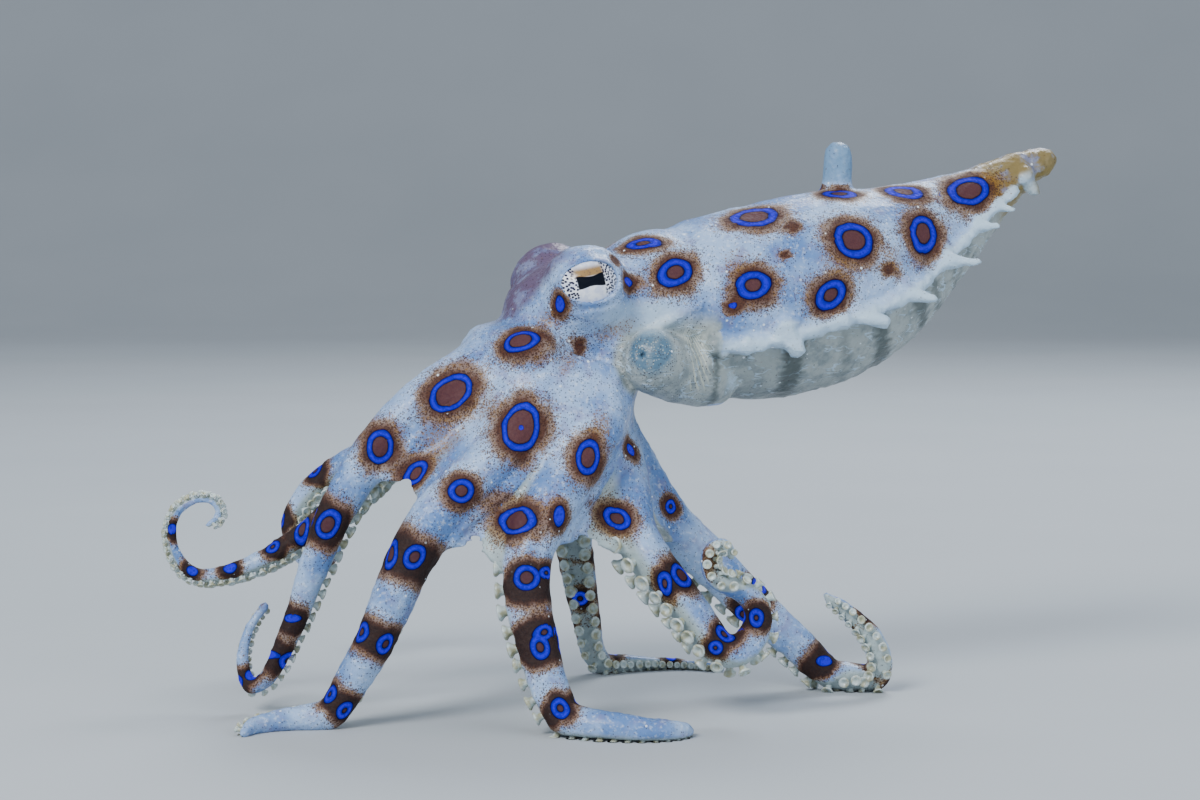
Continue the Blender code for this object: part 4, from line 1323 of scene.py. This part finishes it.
def makeSpeckle():
    # fine pigment dots: a mask of round dots whose number follows Amount
    tree = bpy.data.node_groups.new("pigmentDots", "ShaderNodeTree")
    groupInputs(tree, (("Vector", "Vector", None), ("Scale", "Float", 4.0), ("Amount", "Float", 0.5),
                       ("Size", "Float", 0.3)))
    tree.interface.new_socket("Mask", in_out="OUTPUT", socket_type="NodeSocketFloat")
    graph = Graph(tree)
    given = graph.node("NodeGroupInput")
    vector, scale, amount, wide = (Value(graph, given.outputs[n]) for n in range(4))
    cells = graph.node("ShaderNodeTexVoronoi", {"Vector": vector, "Scale": scale}, feature="F1")
    chance = graph.node("ShaderNodeSeparateColor", {0: Value(graph, cells.outputs["Color"])})
    present = graph.step(amount - Value(graph, chance.outputs[0]), -0.04, 0.04)
    size = wide * (Value(graph, chance.outputs[1]) * 0.7 + 0.55)
    dot = graph.step(Value(graph, cells.outputs["Distance"]), size, size * 0.6)
    graph.node("NodeGroupOutput", {"Mask": present * dot})
    return tree


speckle = makeSpeckle()


def newMaterial(name):
    material = bpy.data.materials.new(name)
    material.use_nodes = True
    return material, Graph(material.node_tree), material.node_tree.nodes["Principled BSDF"]


skinLook = {
    "white": colour(150, 180, 220), "blue": colour(86, 124, 182), "lilac": colour(114, 114, 160),
    "cream": colour(158, 168, 168), "creamGrey": colour(108, 122, 128), "bandAndShadeGrey": colour(58, 70, 70),
    # the band grey also stands for the painted shade under the belly
    "ridge": colour(180, 206, 226), "ochre": colour(124, 88, 24), "brown": colour(72, 36, 20),
    "grain": colour(58, 32, 22), "dark": colour(40, 16, 24), "ink": colour(20, 10, 14),
    "plum": colour(76, 40, 50), "oral": colour(164, 178, 172), "tail": colour(122, 104, 46),
    # the mauve here is painted shade for the far brow and the crest of the head
    "freckle": colour(46, 30, 42), "glint": colour(232, 244, 255), "shadeMauve": colour(86, 66, 94),
    "funnelBlue": colour(74, 106, 130), "fingerBlue": colour(92, 134, 170), "fibre": colour(206, 212, 196),
    # linear light
    "ring": (0.001, 0.002, 0.2, 1.0), "ringBright": (0.002, 0.006, 0.34, 1.0),
    "ringEdge": (0.003, 0.001, 0.03, 1.0), "noGlow": (0, 0, 0, 1),
    "glow": (0.0, 0.0, 0.42, 1.0), "glowBright": (0.035, 0.0, 0.86, 1.0),
}


def bellyColour(graph, where, middling, band):
    # cream with grey bands and painted shade towards the underside, pale squiggles and fine pale fibres that
    # fan out behind the funnel
    c = skinLook
    under = graph.mix(graph.step(middling, 0.42, 0.66, 0, 0.75), c["cream"], c["creamGrey"])
    # grey bands, and painted shade towards the underside
    under = graph.mix(band * 0.85, under, c["bandAndShadeGrey"])
    level = graph.value("ShaderNodeVectorMath", {0: where, 1: (0.5, 0.5, 1.5)}, operation="MULTIPLY")
    crease = abs(graph.noise(level, 0.75, 2, 0.5) - 0.5)
    broken = graph.step(graph.noise(where, 0.7, 1), 0.47, 0.56)
    squiggle = graph.step(crease, 0.034, 0.01) * broken * (1.0 - band * 0.8)
    under = graph.mix(squiggle * 0.65, under, c["ridge"])
    across, _, height = graph.axes(where)
    spread = (37.4 - height) * 0.09 + 0.16
    strand = (across + middling * 0.5 - 5.8) / spread + 40.0
    strand = abs(graph.maths("FRACT", strand) - 0.5)
    strand = graph.step(strand, 0.22, 0.08) * graph.attribute("fibres")
    return graph.mix(strand * 0.75, under, c["fibre"]), squiggle


def patchColour(graph, where, ground, patch, inky):
    # grains of brown and ochre that crowd together towards the ring, inky at the arms' ends
    c = skinLook
    base = graph.mix(graph.step(patch, 1.12, 0.88, 0, 0.8), ground, c["ochre"])
    grains = graph.dots(where, 5.0, graph.step(patch, 1.38, 1.0), 0.55)
    base = graph.mix(grains * 0.7, base, c["ochre"])
    base = graph.mix(graph.step(patch, 0.9, 0.62, 0, 0.92), base, c["brown"])
    grains = graph.dots(where, 5.6, graph.step(patch, 1.42, 0.9), 0.56)
    base = graph.mix(grains * 0.88, base, c["grain"])
    grains = graph.dots(where, 5.0, graph.step(patch, 1.2, 0.62, 0.0, 0.9), 0.5)
    base = graph.mix(grains * 0.75, base, c["dark"])
    return graph.mix(graph.step(patch, 0.84, 0.5) * (inky * 0.8), base, c["ink"])


def ringLines(graph, where):
    # distance from the nearest ring's line in half widths of it, and a share of 1 inside the ring
    uneven = (graph.noise(where, 0.6, 2) - 0.5) * 0.24
    sizes, inner = [], []
    for k in range(2):
        shares = graph.attribute(f"ringShares{k}", "Vector")
        length = graph.value("ShaderNodeVectorMath", {0: shares}, "Value", operation="LENGTH")
        gap = (length + uneven - 1.0) * graph.attribute(f"ringScale{k}") + 0.9
        solid = graph.attribute(f"ringSolid{k}")
        hollow, filled = abs(gap) * (1.0 - solid), graph.maths("MAXIMUM", gap, 0.0) * solid
        sizes.append(hollow + filled + graph.attribute(f"ringFar{k}") * 4.0)
        inner.append(graph.step(gap, -0.9, -2.0))
    return graph.maths("MINIMUM", *sizes), graph.maths("MAXIMUM", *inner)


def skinMaterial():
    material, graph, shader = newMaterial("skin")
    c = skinLook
    where = graph.millimetres()
    patch, belly, pale, band, tail, oral, dusty, inky, ochre = (
        graph.attribute(name)
        for name in ("patch", "belly", "pale", "band", "tail", "oral", "dusty", "inky", "ochre"))
    middling, fine = graph.noise(where, 0.5, 4, 0.6), graph.noise(where, 2.4, 3, 0.6)
    ground = graph.mix(graph.step(graph.noise(where, 0.16, 3), 0.4, 0.62), c["white"], c["blue"])
    ground = graph.mix(graph.step(middling, 0.5, 0.7, 0, 0.6), ground, c["lilac"])
    ground = graph.mix(graph.step(fine, 0.52, 0.7, 0, 0.3), ground, c["glint"])
    # painted shade on the far brow and the crest of the head
    shadeMauve = graph.attribute("shadeMauve") * graph.step(middling, 0.66, 0.48, 0.45, 0.95)
    ground = graph.mix(shadeMauve, ground, c["shadeMauve"])
    under, squiggle = bellyColour(graph, where, middling, band)
    ground = graph.mix(belly, ground, under)
    bluish = graph.mix(graph.dots(where, 4.4, 0.6, 0.42) * 0.75, c["funnelBlue"], c["cream"])
    ground = graph.mix(graph.attribute("funnelFace"), ground, bluish)
    ground = graph.mix(graph.step(oral, 0.15, 0.6, 0, 0.8), ground, c["oral"])
    ground = graph.mix(tail * graph.step(middling, 0.66, 0.5, 0.35, 0.95), ground, c["tail"])
    ground = graph.mix(pale * 0.9, ground, c["ridge"])
    ground = graph.mix(graph.attribute("finger") * 0.8, ground, c["fingerBlue"])
    # ochre washes break up into grains
    ground = graph.mix(ochre * 0.35, ground, c["ochre"])
    ground = graph.mix(graph.dots(where, 4.4, ochre, 0.55) * 0.75, ground, c["ochre"])
    # scattered freckles, thickest on the head and towards the patches
    few = (dusty + graph.step(patch, 1.9, 1.15, 0, 0.35)) * (1.0 - oral * 0.85) * (1.0 - pale * 0.9)
    ground = graph.mix(graph.dots(where, 5.2, few, 0.44) * 0.8, ground, c["freckle"])
    base = patchColour(graph, where, ground, patch, inky)
    # rings: electric blue with blue-black edges
    size, inner = ringLines(graph, where)
    lineShare = graph.step(size, 1.12, 0.88)
    brightShare = graph.step(size, 0.8, 0.25) * graph.step(graph.noise(where, 3.4, 2), 0.36, 0.55, 0.35, 1.0)
    edgeShare = graph.step(size, 1.6, 1.1, 0, 0.92)
    base = graph.mix(inner * 0.7, base, c["plum"])
    base = graph.mix(edgeShare, base, c["ringEdge"])
    base = graph.mix(lineShare, base, graph.mix(brightShare, c["ring"], c["ringBright"]))
    # the ring lines also glow: painted light that makes their blue shine
    glow = graph.mix(lineShare, c["noGlow"], graph.mix(brightShare, c["glow"], c["glowBright"]))
    # pale glints between the rings
    sparks = graph.dots(where, 1.1, 0.2, 0.16) * (graph.step(size, 1.6, 2.4) * 0.85)
    dull = graph.maths("MAXIMUM", edgeShare, graph.step(patch, 1.1, 0.7))
    graph.fill(shader, {
        "Base Color": graph.mix(sparks, base, c["glint"]),
        "Roughness": graph.step(fine, 0.3, 0.7, 0.5, 0.36) + dull * 0.3, "Metallic": edgeShare * 0.9,
        "Coat Weight": (1.0 - dull) * 0.14, "Coat Roughness": 0.16, "Specular IOR Level": 0.3,
        "Emission Color": glow, "Emission Strength": 0.62,
    })
    pores = graph.cells(where, 2.2)
    graph.bump(shader, fine * 0.6 + pores * 0.5 + sparks * 0.8 + squiggle * belly * 0.9, 0.5, 0.0002)
    return material


skin.data.materials.clear()
skin.data.materials.append(skinMaterial())
place(skin)
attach(skin, "root")
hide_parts(*fleshNodes)
print("skin finished")

suckerLook = {"pale": colour(186, 202, 204), "olive": colour(158, 160, 134), "grain": colour(150, 140, 100)}


def suckerMaterial():
    material, graph, shader = newMaterial("suckers")
    where = graph.millimetres()
    mottle = graph.noise(where, 1.3, 3)
    base = graph.mix(graph.step(mottle, 0.4, 0.65), suckerLook["pale"], suckerLook["olive"])
    graph.fill(shader, {
        "Base Color": graph.mix(graph.dots(where, 4.5, 0.25, 0.3) * 0.3, base, suckerLook["grain"]),
        "Roughness": graph.step(mottle, 0.3, 0.7, 0.3, 0.45),
        "Subsurface Weight": 0.2, "Subsurface Radius": (1.0, 0.9, 0.8), "Subsurface Scale": 0.0006,
        "Coat Weight": 0.3, "Coat Roughness": 0.15,
    })
    graph.bump(shader, graph.noise(where, 5.0, 2), 0.3, 0.0001)
    return material


def suckerCup():
    # one sucker of radius 1: stalk, flared cup and the pit in its face
    profile = ((0.66, -0.7), (0.5, 0.15), (0.62, 0.65), (1.0, 1.05), (0.92, 1.28), (0.55, 1.05), (0.25, 0.7))
    turn = circleTurn(10)
    loops = [np.stack([r * np.cos(turn), r * np.sin(turn), turn * 0 + z], -1) for r, z in profile]
    points, faces = loft(loops)
    cup = newObject("suckerCup", points.tolist(), faces)
    cup.data.shade_smooth()
    return cup


def suckerPoints():
    # two rows on each arm's inner side, alternating
    layout = {"splay": 30.0, "sink": 0.88, "rootSize": 0.75, "rootLength": 9}
    splay = math.radians(layout["splay"])
    spots, facings, sizes = [], [], []
    for arm in armList.values():
        for n, s in enumerate(suckerStops(arm)):
            spot, radius, ahead, out = arm.at(s)
            row = 1 if n % 2 else -1
            way = -out * math.cos(splay) + out.cross(ahead) * math.sin(splay) * row
            spots.append(tuple(spot + way * radius * layout["sink"]))
            facings.append(tuple(way))
            sizes.append(suckerSize(radius) * (layout["rootSize"] if s < layout["rootLength"] else 1.0))
    obj = newObject("suckers", spots, [])
    writeValues(obj.data, "facing", facings, "FLOAT_VECTOR")
    writeValues(obj.data, "size", sizes)
    return obj


def suckerTree(material):
    tree = bpy.data.node_groups.new("suckersOnArms", "GeometryNodeTree")
    tree.interface.new_socket("Geometry", in_out="INPUT", socket_type="NodeSocketGeometry")
    ids = groupInputs(tree, (("Cup", "Object", None), ("Scale", "Float", 1.0), ("Unevenness", "Float", 0.1),
                             ("Lean", "Float", 0.15)))
    tree.interface.new_socket("Geometry", in_out="OUTPUT", socket_type="NodeSocketGeometry")
    graph = Graph(tree)
    group = graph.node("NodeGroupInput")
    given = {name: Value(graph, group.outputs[name]) for name in ("Geometry", *ids)}
    facing, size = (
        graph.value("GeometryNodeInputNamedAttribute", {"Name": name}, "Attribute", data_type=kind)
        for name, kind in (("facing", "FLOAT_VECTOR"), ("size", "FLOAT")))
    lean = graph.value("FunctionNodeRandomValue", {"Min": (-1, -1, -1), "Max": (1, 1, 1), "Seed": 11},
                       "Value", data_type="FLOAT_VECTOR")
    lean = graph.scaled(lean, given["Lean"])
    way = graph.value("ShaderNodeVectorMath", {0: facing, 1: lean}, operation="ADD")
    turn = graph.value("FunctionNodeAlignRotationToVector", {"Vector": way}, axis="Z")
    uneven = graph.node("FunctionNodeRandomValue", {"Min": -1.0, "Max": 1.0, "Seed": 12}, data_type="FLOAT")
    uneven = Value(graph, [socket for socket in uneven.outputs if socket.enabled][0])
    scale = graph.maths("MULTIPLY_ADD", uneven, given["Unevenness"], 1.0) * size * given["Scale"]
    cup = graph.value("GeometryNodeObjectInfo", {"Object": given["Cup"]}, "Geometry")
    cups = graph.value("GeometryNodeInstanceOnPoints", {
        "Points": given["Geometry"], "Instance": cup, "Rotation": turn, "Scale": scale})
    cups = graph.value("GeometryNodeRealizeInstances", {0: cups})
    graph.node("NodeGroupOutput", {
        0: graph.value("GeometryNodeSetMaterial", {"Geometry": cups, "Material": material})})
    return tree, ids


def makeSuckers():
    spread = {"Scale": 1.0, "Unevenness": 0.1, "Lean": 0.12}
    cup, obj, material = suckerCup(), suckerPoints(), suckerMaterial()
    tree, ids = suckerTree(material)
    nodes = obj.modifiers.new("Suckers", "NODES")
    nodes.node_group = tree
    for name, value in {"Cup": cup, **spread}.items():
        nodes[ids[name]] = value
    settle(obj)
    bpy.data.objects.remove(cup)
    points = meshPoints(obj.data)
    points[:, 2] = np.maximum(points[:, 2], 0.01)
    setPoints(obj.data, points)
    obj.data.shade_smooth()
    if not obj.data.materials:
        obj.data.materials.append(material)
    place(obj)
    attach(obj, "root")
    return obj


suckers = makeSuckers()
print("suckers", len(suckers.data.polygons))

eyeLook = {
    "white": colour(236, 242, 252), "blue": colour(170, 184, 224), "dots": colour(16, 16, 52),
    "gold": colour(140, 104, 26), "goldDeep": colour(88, 56, 12), "pupil": (0.0, 0.002, 0.008, 1.0),
    "pupilHalf": (1.36, 0.62), "pupilWaist": 0.16, "waistEdge": (1.2, 0.1),
    "pupilUp": 0.55, "pupilAcross": -0.3, "pupilDepth": 0.1,
    "plan": 10.0,       # millimetres of the eye across the tile of its plan
}


def eyeMaterial():
    material, graph, shader = newMaterial("eye")
    c = eyeLook
    plan = graph.value("ShaderNodeUVMap", uv_map="eyePlan")
    planAcross, planUp, _ = graph.axes(plan)
    where = graph.scaled(plan, c["plan"])
    height = (planUp - 0.5) * c["plan"]
    width = abs((planAcross - 0.5) * c["plan"] - c["pupilAcross"])
    mottle = graph.noise(where, 1.4, 3)
    base = graph.mix(graph.step(mottle, 0.4, 0.62, 0, 0.5), c["white"], c["blue"])
    # a golden band above the pupil
    raised = height - c["pupilUp"]
    golden = graph.step(raised, 0.35, 0.6) * graph.step(raised, 1.65, 1.05) * graph.step(width, 2.0, 1.1)
    gilt = graph.mix(graph.dots(where, 5.0, 0.75, 0.55) * 0.6, c["gold"], c["goldDeep"])
    base = graph.mix(golden * 0.93, base, gilt)
    # dark dots crowd the two ends, and thin out below
    spots = graph.cells(where, 3.5, 0.75, voronoi_dimensions="2D")
    ends = graph.step(width, 1.2, 1.45) * graph.step(raised, -1.9, -1.4)
    base = graph.mix(graph.step(spots, 0.44, 0.32) * ends, base, c["dots"])
    # the pupil is a bar with a waist
    tall = c["pupilHalf"][1] - graph.step(width, *c["waistEdge"]) * c["pupilWaist"]
    pupil = graph.step(abs(raised) - tall, 0.05, -0.03)
    pupil = pupil * graph.step(width, c["pupilHalf"][0] + 0.05, c["pupilHalf"][0] - 0.04)
    graph.fill(shader, {
        "Base Color": graph.mix(pupil, base, c["pupil"]),
        "Roughness": graph.step(mottle, 0.3, 0.7, 0.24, 0.36) + pupil * 0.5,
        "Coat Weight": (1.0 - graph.maths("MAXIMUM", pupil, golden * 0.8)) * 0.8,
        "Coat Roughness": 0.06, "Specular IOR Level": 0.15,
    })
    graph.bump(shader, graph.noise(where, 3.0, 3), 0.25, 0.00008)
    return material


def facingOut(mesh):
    bm = bmesh.new()
    bm.from_mesh(mesh)
    bmesh.ops.recalc_face_normals(bm, faces=bm.faces)
    bm.to_mesh(mesh)
    bm.free()


def makeEye(word, side, material):
    # a ball a little flattened, dense in front, with the bar of the pupil sunk in its face
    tilt = math.radians(eye["tilt"])
    axes = np.array([list(back * math.cos(tilt) + up * math.sin(tilt)),
                     list(up * math.cos(tilt) - back * math.sin(tilt)), list(right * side)])
    centre = headPoint(eye["back"], eye["side"] * side, eye["up"])
    rings, crowding = 72, 1.35
    turn = circleTurn(96)
    halfWide, halfTall = eyeLook["pupilHalf"]
    plan = []
    for r in range(1, rings):
        polar = math.pi * (r / rings) ** crowding
        a = np.sin(polar) * np.cos(turn) * eye["ball"][0]
        b = np.sin(polar) * np.sin(turn) * eye["ball"][1]
        wide = np.abs(a - eyeLook["pupilAcross"])
        tall = halfTall - eyeLook["pupilWaist"] * rise(wide, *eyeLook["waistEdge"])
        sunk = rise(wide, halfWide, halfWide - 0.15)
        sunk = sunk * rise(np.abs(b - eyeLook["pupilUp"]) - tall, 0.0, -0.15) * (math.cos(polar) > 0)
        plan.append(np.stack([a, b, math.cos(polar) * eye["ball"][2] - eyeLook["pupilDepth"] * sunk], -1))
    points, faces = loft([np.asarray(centre) + local @ axes for local in plan])
    # loft adds the two end points last
    planPoints = np.vstack([*plan, (0, 0, 0), (0, 0, 0)])
    obj = newObject(f"eye{word.title()}", points.tolist(), faces)
    mesh = obj.data
    corner = np.zeros(len(mesh.loops), np.int32)
    mesh.loops.foreach_get("vertex_index", corner)
    tile = 0.5 + planPoints[corner, :2] / eyeLook["plan"]
    mesh.uv_layers.new(name="eyePlan").data.foreach_set("uv", tile.astype(np.float32).ravel())
    mesh.shade_smooth()
    mesh.materials.append(material)
    facingOut(mesh)
    place(obj)
    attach(obj, "root")
    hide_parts(f"eye_{word}")
    return obj


eyeFinish = eyeMaterial()
makeEye("left", -1, eyeFinish)
makeEye("right", 1, eyeFinish)
print("eyes")

lips = {"radius": 3.2, "pleats": 18, "pleatDepth": 0.12,
        "tan": colour(150, 128, 110), "brown": colour(96, 74, 66)}


def mouthMaterial():
    material, graph, shader = newMaterial("mouth")
    where = graph.millimetres()
    mottle = graph.noise(where, 1.2, 4)
    graph.fill(shader, {"Base Color": graph.mix(graph.step(mottle, 0.4, 0.6), lips["tan"], lips["brown"]),
                        "Roughness": graph.step(mottle, 0.3, 0.7, 0.3, 0.5)})
    graph.bump(shader, graph.noise(where, 2.6, 3), 0.4, 0.0002)
    return material


def makeMouth():
    # the ring of the lips round the tip of the beak, in the middle of the crown
    profile = ((1.0, -0.9), (1.0, 0.2), (0.92, 0.9), (0.75, 1.35), (0.55, 1.4), (0.4, 1.1), (0.3, 0.6),
               (0.22, 0.9), (0.12, 1.5), (0.04, 1.9))
    across = crown["down"].orthogonal().normalized()
    centre = crown["centre"] + crown["down"] * crown["mouthDrop"]
    turn = circleTurn(72)
    loops = []
    for share, drop in profile:
        pleat = 1 + lips["pleatDepth"] * np.cos(turn * lips["pleats"]) * (0.3 < share < 1)
        wide = lips["radius"] * share * pleat
        loops.append(hoop(centre + crown["down"] * drop, across, -crown["down"], wide, turn))
    points, faces = loft(loops)
    obj = newObject("mouthLips", points.tolist(), faces)
    facingOut(obj.data)
    obj.data.shade_smooth()
    obj.data.materials.append(mouthMaterial())
    place(obj)
    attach(obj, "root")
    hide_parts("mouth")
    return obj


makeMouth()

studio = {
    "floorHalf": 1.6, "wallAt": 1.1, "bend": 0.35, "wallTop": 1.4, "bendSteps": 12,
    "greys": (colour(168, 176, 184), colour(176, 184, 191)),
    # name, place in metres, watts, size and tint
    "lights": (("key", (-0.28, -0.42, 0.42), 4.4, 0.24, (1.0, 0.98, 0.95)),
               ("fill", (0.42, -0.36, 0.20), 1.2, 0.35, (0.9, 0.95, 1.0)),
               ("rim", (0.15, 0.40, 0.45), 2.6, 0.25, (0.92, 0.96, 1.0))),
    "aimAt": (0, 0, 0.03), "sky": (0.86, 0.92, 1.0, 1), "skyStrength": 0.6,
}


def makeFloor():
    # a floor that bends up into a wall behind
    bend, half = studio["bend"], studio["floorHalf"]
    outline = [(-half, 0.0)]
    for k in range(studio["bendSteps"] + 1):
        a = math.radians(90 * k / studio["bendSteps"])
        outline.append((studio["wallAt"] - bend + bend * math.sin(a), bend * (1 - math.cos(a))))
    outline.append((studio["wallAt"], studio["wallTop"]))
    points = [(x, y, z) for y, z in outline for x in (-half * 1.5, half * 1.5)]
    faces = [(n, n + 1, n + 3, n + 2) for n in range(0, 2 * len(outline) - 2, 2)]
    floor = newObject("studioFloor", points, faces)
    floor.data.shade_smooth()
    material, graph, shader = newMaterial("studioFloor")
    base = graph.mix(graph.noise(graph.millimetres(), 0.02, 2), *studio["greys"])
    graph.fill(shader, {"Base Color": base, "Roughness": 0.85})
    floor.data.materials.append(material)


def aimed(name, data, at, way):
    holder = bpy.data.objects.new(name, data)
    holder.location = at
    holder.rotation_mode = "QUATERNION"
    holder.rotation_quaternion = way.to_track_quat("-Z", "Y")
    bpy.context.scene.collection.objects.link(holder)
    return holder


def makeStudio():
    makeFloor()
    for name, spot, power, size, tint in studio["lights"]:
        lamp = bpy.data.lights.new(name, "AREA")
        lamp.energy, lamp.size, lamp.color = power, size, tint
        aimed(name, lamp, spot, Vector(studio["aimAt"]) - Vector(spot))
    world = bpy.data.worlds.new("studio")
    world.use_nodes = True
    sky = world.node_tree.nodes["Background"]
    sky.inputs["Color"].default_value = studio["sky"]
    sky.inputs["Strength"].default_value = studio["skyStrength"]
    bpy.context.scene.world = world
    camera = bpy.data.cameras.new("camera")
    camera.lens, camera.sensor_width = viewing["lens"], 36.0
    camera.clip_start, camera.clip_end = 0.01, 10.0
    bpy.context.scene.camera = aimed("camera", camera, lookFrom * mm - shift, viewing["target"] - lookFrom)


makeStudio()
bpy.context.view_layer.update()
